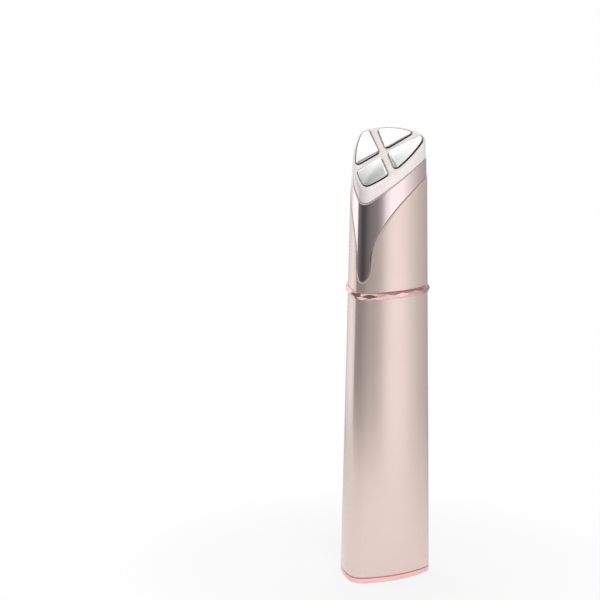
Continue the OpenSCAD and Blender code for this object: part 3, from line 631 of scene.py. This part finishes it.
bm = bmesh.new()
rows = [sleeve_top(land_inset + soft_r * (1 - s), -soft_r * (1 - c)) for s, c in quarter(4)][:-1]
rows += shell_rows(seam_gap + soft_r, land_inset, lambda a: head_seam_z(a, land_inset, -soft_r), 60)
rows += [seam_row(seam_gap + soft_r * (1 - s), land_inset + soft_r * (1 - c))
         for s, c in quarter(4)][1:]
rows += shell_rows(seam_gap, sleeve_inset, lambda a: ring_high, 10, (1, 0))
rows += [sleeve_level(ring_high, spigot_inset), sleeve_level(ring_low - spigot_l, spigot_inset),
         sleeve_level(ring_low - spigot_l, spigot_bore), sleeve_level(ring_high + step_h, spigot_bore),
         sleeve_level(ring_high + step_h, bore_inset), sleeve_top(bore_inset)]
loft(bm, rows + rows[:1])
finish_piece("polished_sleeve_mirror", bm, ["polished_sleeve"], "polished_metal")

# %% [markdown]
# ## Faceted ring
# The ring is a girdle of flat facets, as on a cut stone. The solid's facets are right already, but
# no real edge is perfectly sharp, and it is the thin line of light on each edge that makes metal
# read as metal. So a merged copy of the solid gets a very small bevel, and its facets stay flat.

# %% Accent ring
crease_angle, ring_bevel = 9, 0.045 * mm
facets_from = 13.2 * mm * taper(ring_low)
bm = bmesh.new()
bm.from_mesh(frame["nodes"]["accent_ring"].data)
bmesh.ops.remove_doubles(bm, verts=bm.verts, dist=0.001 * mm)
bmesh.ops.dissolve_limit(bm, angle_limit=math.radians(1), verts=bm.verts, edges=bm.edges)
creases = [edge for edge in bm.edges if edge.calc_face_angle(0) > math.radians(crease_angle)
           and min(vert.co.to_2d().length for vert in edge.verts) > facets_from]
bmesh.ops.bevel(bm, geom=creases, offset=ring_bevel, segments=2, profile=0.5, affect="EDGES",
                clamp_overlap=True, material=-1)
print("bevelled edges of the ring:", len(creases))
finish_piece("accent_ring_facets", bm, ["accent_ring"], "rose_metal", sharp=crease_angle)

# %% [markdown]
# ## Head and plates on the slope
# The head is a glossy cap, cut off by a sloping face. Its side turns over into the face with a
# faint crease and then a long soft rounding. Four wells in the face hold the plates. The
# outline of each is what is left of the face between two straps, with its corners rounded: the
# straight cuts are made with bisect_plane, and the rounding walks round the corners of the rest.

# %% Points on the slope
plate_margin, strap_w, strap_angle, strap_y = 1.65 * mm, 2.8 * mm, 51.5, -0.6 * mm
plate_round, well_gap, ledge_w = 1.0 * mm, 0.35 * mm, 0.9 * mm
plate_seat, floor_t = 0.95 * mm, 2.2 * mm
skirt_inset = bore_inset + fit_gap
cavity_inset = skirt_inset + 0.9 * mm
stack_inset = cavity_inset + 0.3 * mm


def sloped_at(a, h, inset):
    """A point of the handle's surface that lies h above the face's plane."""
    turn, q = ridge_and_normal(a)
    base, out = turned(arc_point(q, 1, 0), turn), turned(unit(q), turn)
    z = (face_z + h / tilt_cos + tilt_tan * (base.y - inset * out.y)) / (1 + tilt_tan * shrink * base.y)
    return surface_at(a, z, inset)


def sloped_row(h, inset):
    return [sloped_at(a, h, inset) for a in around]


def on_face(p, h):
    """A point of the slope, p.x across and p.y up it, and h above it."""
    return Vector((p.x, p.y * tilt_cos - h * tilt_sin, face_z + p.y * tilt_sin + h * tilt_cos))


def face_outline(h, inset):
    return [Vector((p.x, (p.y + h * tilt_sin) / tilt_cos)) for p in sloped_row(h, inset)]


# %% Outlines of the plates
plate_turns = {"front_plate": -90, "right_plate": 0, "top_plate": 90, "left_plate": 180}
fold_slack, least_edge, sharp_bend, fan_step = 0.02 * mm, 0.01 * mm, 8, 6


def plate_core(name, outline, trim, keep_off):
    """The outline moved in by trim, without what folds over at sharp corners, cut off at the straps."""
    moved = []
    for i, p in enumerate(outline):
        along = (outline[(i + 1) % len(outline)] - outline[i - 1]).normalized()
        moved.append(p + trim * Vector((-along.y, along.x)))
    moved = [p for p in moved if min((p - q).length for q in outline) > trim - fold_slack]
    bm = bmesh.new()
    ring = bmesh.ops.create_circle(bm, cap_ends=True, segments=len(moved), radius=mm)["verts"]
    for vert, p in zip(ring, moved):
        vert.co = p.to_3d()
    turn = plate_turns[name]
    half = strap_angle if turn in (0, 180) else 90 - strap_angle
    for side in (-1, 1):
        inward = unit(turn + side * (half - 90))
        start = Vector((0, strap_y)) + (strap_w / 2 + keep_off + trim) * inward
        bmesh.ops.bisect_plane(bm, geom=bm.verts[:] + bm.edges[:] + bm.faces[:], plane_co=start.to_3d(),
                               plane_no=-inward.to_3d(), clear_outer=True)
    face = max(bm.faces, key=lambda f: f.calc_area())
    points = [vert.co.to_2d() for vert in face.verts]
    if face.normal.z < 0:
        points.reverse()
    bm.free()
    return [p for p, q in zip(points, points[1:] + points[:1]) if (q - p).length > least_edge]


def rim_of(core, spacing=0.5 * mm):
    """Each point of the core with the direction in which a rounded rim leaves it."""
    rim = []
    for i, here in enumerate(core):
        before, after = here - core[i - 1], core[(i + 1) % len(core)] - here
        start, end = (math.degrees(math.atan2(-d.x, d.y)) for d in (before, after))
        bend = (end - start + 180) % 360 - 180
        fan = max(round(bend / fan_step), 1) if bend > sharp_bend else 0
        angles = [start + bend * j / fan for j in range(fan + 1)] if fan else [start + bend / 2]
        rim += [(here, unit(angle)) for angle in angles]
        steps = int(after.length / spacing)
        rim += [(here + after * j / steps, unit(end)) for j in range(1, steps)]
    return rim


def rim_row(rim, out, h):
    return [on_face(p + out * u, h) for p, u in rim]


def rim_for(name):
    return rim_of(plate_core(name, face_outline(0, plate_margin), plate_round, 0))


def window_rim(name, gap):
    """The window under a plate, inside the head's cavity, or the plate's foot in it."""
    outline = face_outline(-floor_t, stack_inset + gap)
    return rim_of(plate_core(name, outline, plate_round / 2, ledge_w + gap))


for name in plate_turns:
    rim = rim_for(name)
    size = [max(p[i] for p, u in rim) - min(p[i] for p, u in rim) + 2 * plate_round for i in (0, 1)]
    print(name, "mm:", [round(c / mm, 2) for c in size], len(rim), "points")

# %% Head frame
turn_w, turn_h, crease = 0.5 * mm, 1.6 * mm, 18
skirt_l, press_h, boss_r, head_screw_r = 5 * mm, -3.95 * mm, 2 * mm, 0.8 * mm
well_r, seam_open = 0.26 * mm, 0.1 * mm
face_normal = Vector((0, -tilt_sin, tilt_cos))


def seam_level(inset, lift):
    return [surface_at(a, head_seam_z(a, inset, lift), inset) for a in around]


def fill_face(bm, loops, normal):
    """Fills the plane between an outer loop and the loops inside it."""
    edges = [edge for loop in loops for edge in loop]
    bmesh.ops.triangle_fill(bm, use_beauty=True, edges=edges, normal=normal)


def crease_row(angle):
    """A row of the long rounding between the head's side and its face."""
    width = turn_w / unit(crease).x
    inset = head_inset + width * (unit(crease).x - unit(angle).x)
    return sloped_row(turn_h * (unit(angle).y - 1), inset)


def disc_row(r, h):
    return [on_face(Vector((0, strap_y)) + r * unit(7.5 * i), h) for i in range(48)]


bm = bmesh.new()
rows = [sloped_row(-floor_t, cavity_inset), seam_level(cavity_inset, -skirt_l),
        seam_level(skirt_inset, -skirt_l), seam_level(skirt_inset, seam_open)]
rows += [[surface_at(a, head_seam_z(a, head_inset, seam_open + edge_r * (1 - c)),
                     head_inset + edge_r * (1 - s)) for a in around] for s, c in quarter(3)]
side_low, side_high = rows[-1], crease_row(crease)
rows += [[p.lerp(q, i / 8) for p, q in zip(side_low, side_high)] for i in range(1, 8)]
rows += [crease_row(crease + (90 - crease) * i / 12) for i in range(13)]
ceiling, face_loop = loft(bm, rows)
face_loops, ceiling_loops = [face_loop], [ceiling]
for name in plate_turns:
    rim = rim_for(name)
    wall = [rim_row(rim, plate_round + well_gap + well_r * (1 - s), -well_r * (1 - c))
            for s, c in quarter(3)]
    mouth, seat = loft(bm, wall + [rim_row(rim, plate_round + well_gap, -plate_seat)])
    window = window_rim(name, 0)
    top, bottom = loft(bm, [rim_row(window, plate_round / 2, h) for h in (-plate_seat, -floor_t)])
    fill_face(bm, [seat, top], face_normal)
    face_loops.append(mouth)
    ceiling_loops.append(bottom)
boss, blind = loft(bm, [disc_row(boss_r, -floor_t), disc_row(boss_r, press_h),
                        disc_row(head_screw_r, press_h), disc_row(head_screw_r, press_h + 2.4 * mm)])
cap(bm, blind)
fill_face(bm, face_loops, face_normal)
fill_face(bm, ceiling_loops + [boss], -face_normal)
finish_piece("head_frame_gloss", bm, ["head_frame"], "cream_gloss", sharp=40)

# %% [markdown]
# ## Contact plates
# Each plate is a thick metal pad with a crowned top, so that it rests gently on the eyelid. A
# subdivided cage could make that, but the crown must meet the rim evenly all round. So the same
# outline is repeated: first moved in along its own rounding, then shrunk while it rises towards a
# peak near the crossing of the straps. The foot under the flange goes down through the head's
# floor, to the heater. The sides are painted darker than the polished top, as painted shade of the
# dark gap round each pad. A mask of the height over the sloping face tells the two apart.

# %% Painted shade on the sides of the plates
# The side colour is painted shade for the dark gap round each pad. The top colour is the pad's own.
plate_side_painted_shade, dark_below, bright_above = (0.20, 0.19, 0.185), 0.129 * mm, 0.309 * mm


def paint_shade_on_sides(material, side, top):
    """Swaps the finish's colour for a painted shade colour near the sloping face and the top colour
    above it.
    """
    tree = material.node_tree
    base = tree.nodes["Principled BSDF"].inputs["Base Color"]
    tree.nodes.remove(base.links[0].from_node)
    coords, over = tree.nodes.new("ShaderNodeTexCoord"), tree.nodes.new("ShaderNodeVectorMath")
    over.operation = "DOT_PRODUCT"
    over.inputs[1].default_value = face_normal
    tree.links.new(coords.outputs["Object"], over.inputs[0])
    mask = tree.nodes.new("ShaderNodeMapRange")
    mask.interpolation_type = "SMOOTHSTEP"
    mask.inputs["From Min"].default_value = face_z * face_normal.z + dark_below
    mask.inputs["From Max"].default_value = face_z * face_normal.z + bright_above
    tree.links.new(over.outputs["Value"], mask.inputs["Value"])
    tree.links.new(blend_colours(tree, mask.outputs["Result"], side, top), base)


# Paints shade on the pads' sides, below the polished top.
paint_shade_on_sides(finishes["plate_metal"], plate_side_painted_shade, plate_top)
print("mm over the face: dark to", round(dark_below / mm, 2), "bright from", round(bright_above / mm, 2))

# %% Contact plates
rim_w, rim_low, rim_high, plate_top = 0.36 * mm, 0.06 * mm, 0.32 * mm, 0.76 * mm
crown_steps, peak_shift = 14, 0.75
crossing = Vector((0, strap_y))


def crown_row(rim, share):
    """A row of a plate's top, a share of the way out from its peak, which lies near the crossing."""
    middle = (sum((p for p, u in rim), Vector((0, 0))) / len(rim)).lerp(crossing, peak_shift)
    height = plate_top - (plate_top - rim_high) * share ** 2
    return [on_face(middle + share * (p + (plate_round - rim_w) * u - middle), height) for p, u in rim]


for name in plate_turns:
    rim, foot = rim_for(name), window_rim(name, fit_gap)
    bm = bmesh.new()
    rows = [rim_row(rim, plate_round, -plate_seat)]
    rows += [rim_row(rim, plate_round - rim_w * (1 - c), rim_low + (rim_high - rim_low) * s)
             for s, c in quarter(5)]
    rows += [crown_row(rim, 1 - i / crown_steps) for i in range(1, crown_steps)]
    flange, middle = loft(bm, rows)
    cap(bm, middle)
    top, bottom = loft(bm, [rim_row(foot, plate_round / 2, h) for h in (-plate_seat, -floor_t)])
    fill_face(bm, [flange, top], -face_normal)
    cap(bm, bottom)
    finish_piece(name + "_polished", bm, [name], "plate_metal", sharp=50)

# %% [markdown]
# ## Button, bezel and window on the back
# All three follow the bowed back of the handle. Each is a loft of rings about one centre line, and
# every ring is laid on the back's own arc at its depth. That keeps the gap round the button even.
# The button is a shallow dish, because a thumb should find it without looking.

# %% Rings on the back
def back_row(r, inset, z, steps=72):
    """A ring round a point of the back, at a depth under the surface there."""
    row = []
    for i in range(steps):
        x, up = r * unit(360 * i / steps).x, r * unit(360 * i / steps).y
        s = taper(z + up)
        row.append(Vector((x, math.sqrt((side_r * s - inset) ** 2 - x ** 2) - side_k * s, z + up)))
    return row


def flat_row(r, y, z, steps=72):
    return [Vector((r * unit(360 * i / steps).x, y, z + r * unit(360 * i / steps).y))
            for i in range(steps)]


# %% Button
button_r, button_gap, button_proud, dish = 4.3 * mm, 0.2 * mm, 0.45 * mm, 0.18 * mm
flange_in, flange_t, flange_r = 2.6 * mm, 0.6 * mm, 5.2 * mm
stem_r = (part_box("switch_plunger")[1].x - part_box("switch_plunger")[0].x) / 2
button_edge = 0.3 * mm
bm = bmesh.new()
rows = [flat_row(stem_r, button_low.y, button_z), back_row(stem_r, flange_in + flange_t, button_z),
        back_row(flange_r, flange_in + flange_t, button_z), back_row(flange_r, flange_in, button_z),
        back_row(button_r, flange_in, button_z)]
rows += [back_row(button_r - button_edge * (1 - c), -button_proud + button_edge * (1 - s), button_z)
         for s, c in quarter(5)]
dish_r = button_r - button_edge
rows += [back_row(dish_r * (1 - i / 12), -button_proud + dish * math.sin(math.pi / 2 * i / 12) ** 2,
                  button_z) for i in range(1, 12)]
for edges in loft(bm, rows):
    cap(bm, edges)
finish_piece("power_button_satin", bm, ["power_button"], "button_metal", body="button", sharp=40)

# %% Bezel
bezel_in, bezel_proud, lip = button_r + button_gap, 0.15 * mm, 0.14 * mm
bm = bmesh.new()
rows = [back_row(bezel_r, housing_wall, button_z)]
rows += [back_row(bezel_r - lip * (1 - c), -bezel_proud + lip * (1 - s), button_z)
         for s, c in quarter()]
rows += [back_row(bezel_in + lip * (1 - s), -bezel_proud + lip * (1 - c), button_z)
         for s, c in quarter()]
rows += [back_row(bezel_in, housing_wall, button_z)]
loft(bm, rows + rows[:1])
finish_piece("button_bezel_rose", bm, ["button_bezel"], "rose_metal", sharp=40)

# %% Indicator window
shoulder_r, lens_inset, lens_edge = (lens_high.x - lens_low.x) / 2, 0.05 * mm, 0.15 * mm
bm = bmesh.new()
rows = [flat_row(shoulder_r, lens_low.y, lens_z), flat_row(shoulder_r, lens_low.y + 0.6 * mm, lens_z),
        flat_row(lens_r, lens_low.y + 0.6 * mm, lens_z)]
rows += [back_row(lens_r - lens_edge * (1 - c), lens_inset + lens_edge * (1 - s), lens_z, 72)
         for s, c in quarter()]
rows += [back_row((lens_r - lens_edge) * (1 - i / 5), lens_inset, lens_z) for i in range(1, 5)]
for edges in loft(bm, rows):
    cap(bm, edges)
finish_piece("indicator_window", bm, ["indicator_lens"], "window_plastic", sharp=40)

# %% [markdown]
# ## Pieces that keep their solids
# The battery, boards, chassis, motor and small parts inside have the right shape already, and so
# have the gasket at the foot and the tongue of the inlet. They keep their solids and get finishes,
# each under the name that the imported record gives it.

# %% Finishes for the kept solids
kept = 0
for row in frame["record"]["subparts"]:
    solid = frame["nodes"][row["node"]]
    if not solid.hide_render:
        for holder in solid.material_slots:
            holder.material = finishes[row["material_slot"]]
        kept += 1
print("solids kept:", kept, "pieces made:", len(frame["nodes"]) - kept)

# %% [markdown]
# ## Studio
# Bare metal shows the room, so the room is half of the picture. Upright mirror-bright walls show
# what stands round the wand a little below the lens, and that needs bright panels with dark
# gaps between them. The sloping plates show what hangs above. So the world holds three rings of
# brightness, one over the other, each a colour ramp that goes once round, and a soft light
# right overhead. The camera itself sees plain white. Metal sees the rings and not that white, in
# which it would lose its dark bands.

# %% Rings of soft panels, as degrees round from the front and brightness
low_ring = [(-180, 0.6), (-170, 0.75), (-150, 0.75), (-135, 0.75), (-126, 1.0), (-118, 1.25),
            (-107, 1.25), (-101, 0.35), (-92, 0.2), (-73, 0.17), (-53, 0.12), (-33, 0.08),
            (-13, 0.08), (7, 0.12), (27, 0.16), (50, 0.2), (60, 0.27), (66, 0.45), (72, 0.95),
            (80, 1.2), (95, 1.15), (105, 0.9), (115, 0.7), (125, 0.52), (140, 0.4), (160, 0.4),
            (180, 0.6)]
middle_ring = [(-180, 1.2), (-60, 1.0), (0, 0.9), (50, 0.9), (75, 0.4), (150, 0.25), (165, 0.8),
               (180, 1.2)]
high_ring = [(-180, 1.25), (-105, 1.25), (-101, 1.1), (-97, 0.8), (-93, 0.5), (-86, 0.35),
             (-20, 0.3), (30, 0.4), (60, 0.35), (110, 0.25), (140, 0.3), (165, 0.9), (180, 1.25)]
overhead, brightest = 1.15, 1.25
low_to_middle, middle_to_high, high_to_overhead = (0.12, 0.32), (0.62, 0.8), (0.92, 0.99)


def add(tree, kind, **settings):
    """A new node with its settings."""
    node = tree.nodes.new(kind)
    for name, value in settings.items():
        setattr(node, name, value)
    return node


def maths(tree, operation, *values):
    """A Math node on sockets or numbers."""
    node = add(tree, "ShaderNodeMath", operation=operation)
    for i, value in enumerate(values):
        if isinstance(value, bpy.types.NodeSocket):
            tree.links.new(value, node.inputs[i])
        else:
            node.inputs[i].default_value = value
    return node.outputs[0]


def ring_of_light(tree, turn, ring):
    """The brightness of one ring at a turn from 0 to 1."""
    ramp = add(tree, "ShaderNodeValToRGB")
    tree.links.new(turn, ramp.inputs["Fac"])
    stops = ramp.color_ramp.elements
    while len(stops) < len(ring):
        stops.new(0.5)
    for stop, (azimuth, level) in zip(stops, ring):
        stop.position = (azimuth + 180) / 360
        stop.color = (*[level / brightest] * 3, 1)
    return maths(tree, "MULTIPLY", ramp.outputs["Color"], brightest)


def soft_step(tree, value, start, end, least=0.0):
    """Rises softly from least to 1 as the value goes from start to end."""
    step = add(tree, "ShaderNodeMapRange", interpolation_type="SMOOTHSTEP")
    for label, level in (("From Min", start), ("From Max", end), ("To Min", least)):
        step.inputs[label].default_value = level
    tree.links.new(value, step.inputs["Value"])
    return step.outputs[0]


def cross_fade(tree, height, span, low, high):
    """Goes from low to high as the height of the view direction goes through the span."""
    step = soft_step(tree, height, *span)
    return maths(tree, "MULTIPLY_ADD", maths(tree, "SUBTRACT", high, low), step, low)


world = bpy.data.worlds.new("studio")
bpy.context.scene.world = world
world.use_nodes = True
tree = world.node_tree
tree.nodes.clear()
look = add(tree, "ShaderNodeSeparateXYZ")
tree.links.new(add(tree, "ShaderNodeTexCoord").outputs["Generated"], look.inputs[0])
turn = maths(tree, "ARCTAN2", look.outputs["X"], maths(tree, "MULTIPLY", look.outputs["Y"], -1))
turn = maths(tree, "MULTIPLY_ADD", turn, 1 / math.tau, 0.5)
low, middle, high = [ring_of_light(tree, turn, ring) for ring in (low_ring, middle_ring, high_ring)]
lit = cross_fade(tree, look.outputs["Z"], low_to_middle, low, middle)
lit = cross_fade(tree, look.outputs["Z"], middle_to_high, lit, high)
lit = cross_fade(tree, look.outputs["Z"], high_to_overhead, lit, overhead)
rays = add(tree, "ShaderNodeLightPath")
level = add(tree, "ShaderNodeMix", data_type="FLOAT")
tree.links.new(rays.outputs["Is Camera Ray"], level.inputs[0])
tree.links.new(lit, level.inputs[2])
level.inputs[3].default_value = 1.0
sky = add(tree, "ShaderNodeBackground")
sky.inputs["Color"].default_value = (1, 1, 1, 1)
tree.links.new(level.outputs[0], sky.inputs["Strength"])
tree.links.new(sky.outputs[0], add(tree, "ShaderNodeOutputWorld").inputs["Surface"])

# %% [markdown]
# ## Fill and floor
# The rings leave the front rather dark for the matt head, so one large soft lamp fills it. No mirror
# shows the lamp. The floor is a plain matt disc that takes the wand's shadow close to the foot. Further
# out it glows plain white, and at last it melts away, so that no edge shows. Glossy surfaces see that
# glow too, but less of it behind the wand, as when the light stands in front.

# %% Soft fill that only matt surfaces show
fill_size, fill_power, fill_from = 0.8, 8.0, Vector((0.8, -1.0, 0.35))
fill = bpy.data.lights.new("fill", "AREA")
fill.shape, fill.size, fill.size_y, fill.energy = "RECTANGLE", fill_size, fill_size, fill_power
fill_lamp = bpy.data.objects.new("fill", fill)
bpy.context.scene.collection.objects.link(fill_lamp)
fill_lamp.visible_glossy = False
facing = fill_from.to_track_quat("Z", "Y").to_matrix().to_4x4()
fill_lamp.matrix_world = Matrix.Translation(fill_from) @ facing

# %% Floor
floor_r, melt_r, shadow_r, floor_drop = 0.28, 0.16, 0.12, 0.02 * mm
bm = bmesh.new()
bmesh.ops.create_circle(bm, cap_ends=True, segments=96, radius=floor_r)
bmesh.ops.translate(bm, verts=bm.verts, vec=(0, 0, -floor_drop))
mesh = bpy.data.meshes.new("floor")
bm.to_mesh(mesh)
bm.free()
floor = bpy.data.objects.new("floor", mesh)
bpy.context.scene.collection.objects.link(floor)
print("floor radius, m:", floor_r)

# %% Paint of the floor
floor_tone, least_glow, dimmer_behind = 0.92, 0.78, 3.0
paint = bpy.data.materials.new("pale_floor")
paint.use_nodes = True
tree = paint.node_tree
tree.nodes.clear()
coords = add(tree, "ShaderNodeTexCoord").outputs["Object"]
spot, axes = add(tree, "ShaderNodeVectorMath", operation="LENGTH"), add(tree, "ShaderNodeSeparateXYZ")
tree.links.new(coords, spot.inputs[0])
tree.links.new(coords, axes.inputs[0])
rays = add(tree, "ShaderNodeLightPath")
mirrored = maths(tree, "MAXIMUM", rays.outputs["Is Glossy Ray"], rays.outputs["Is Transmission Ray"])
seen = maths(tree, "MAXIMUM", rays.outputs["Is Camera Ray"], mirrored)
behind = maths(tree, "MAXIMUM", axes.outputs["Y"], 0.0)
dimmed = maths(tree, "MULTIPLY_ADD", behind, -dimmer_behind, 1.0)
matt, glow = add(tree, "ShaderNodeBsdfDiffuse"), add(tree, "ShaderNodeEmission")
matt.inputs["Color"].default_value = (floor_tone, floor_tone, floor_tone, 1)
tree.links.new(maths(tree, "MAXIMUM", rays.outputs["Is Camera Ray"], dimmed), glow.inputs["Strength"])
fade = soft_step(tree, spot.outputs["Value"], shadow_r / 4, shadow_r, least_glow)
melt = soft_step(tree, spot.outputs["Value"], melt_r, floor_r)


def mix_shaders(factor, first, second):
    mix = add(tree, "ShaderNodeMixShader")
    for i, source in enumerate((factor, first, second)):
        tree.links.new(source, mix.inputs[i])
    return mix.outputs[0]


lit = mix_shaders(maths(tree, "MULTIPLY", fade, seen), matt.outputs[0], glow.outputs[0])
lit = mix_shaders(melt, lit, add(tree, "ShaderNodeBsdfTransparent").outputs[0])
tree.links.new(lit, add(tree, "ShaderNodeOutputMaterial").inputs["Surface"])
floor.data.materials.append(paint)

# %% [markdown]
# ## Camera
# The picture is a product shot with a long lens from about a metre away, a little above the middle
# of the wand and to the right of its front ridge. The wand stands right of the middle of
# the frame, and a lens shift puts it there without turning the camera.

# %% Camera and view
target = Vector((0, 0, 0.078))
outward = Vector((0.435, -0.8666, 0.2446)).normalized()
distance, roll = 1.1187, 0.74
right = outward.cross(Vector((0, 0, -1))).normalized()
up = outward.cross(right).normalized()
level_right, level_up = right, up
right = level_right * unit(roll).x + level_up * unit(roll).y
up = level_up * unit(roll).x - level_right * unit(roll).y
lens = bpy.data.cameras.new("camera")
lens.sensor_fit, lens.sensor_width, lens.lens = "HORIZONTAL", 36, 195.7
lens.shift_x, lens.shift_y = -0.1357, 0.0882
lens.clip_start, lens.clip_end = 0.05, 20
camera = bpy.data.objects.new("camera", lens)
bpy.context.scene.collection.objects.link(camera)
place = target + outward * distance
camera.matrix_world = Matrix(((right.x, up.x, outward.x, place.x), (right.y, up.y, outward.y, place.y),
                              (right.z, up.z, outward.z, place.z), (0, 0, 0, 1)))
bpy.context.scene.camera = camera
bpy.context.scene.view_settings.view_transform = "Standard"
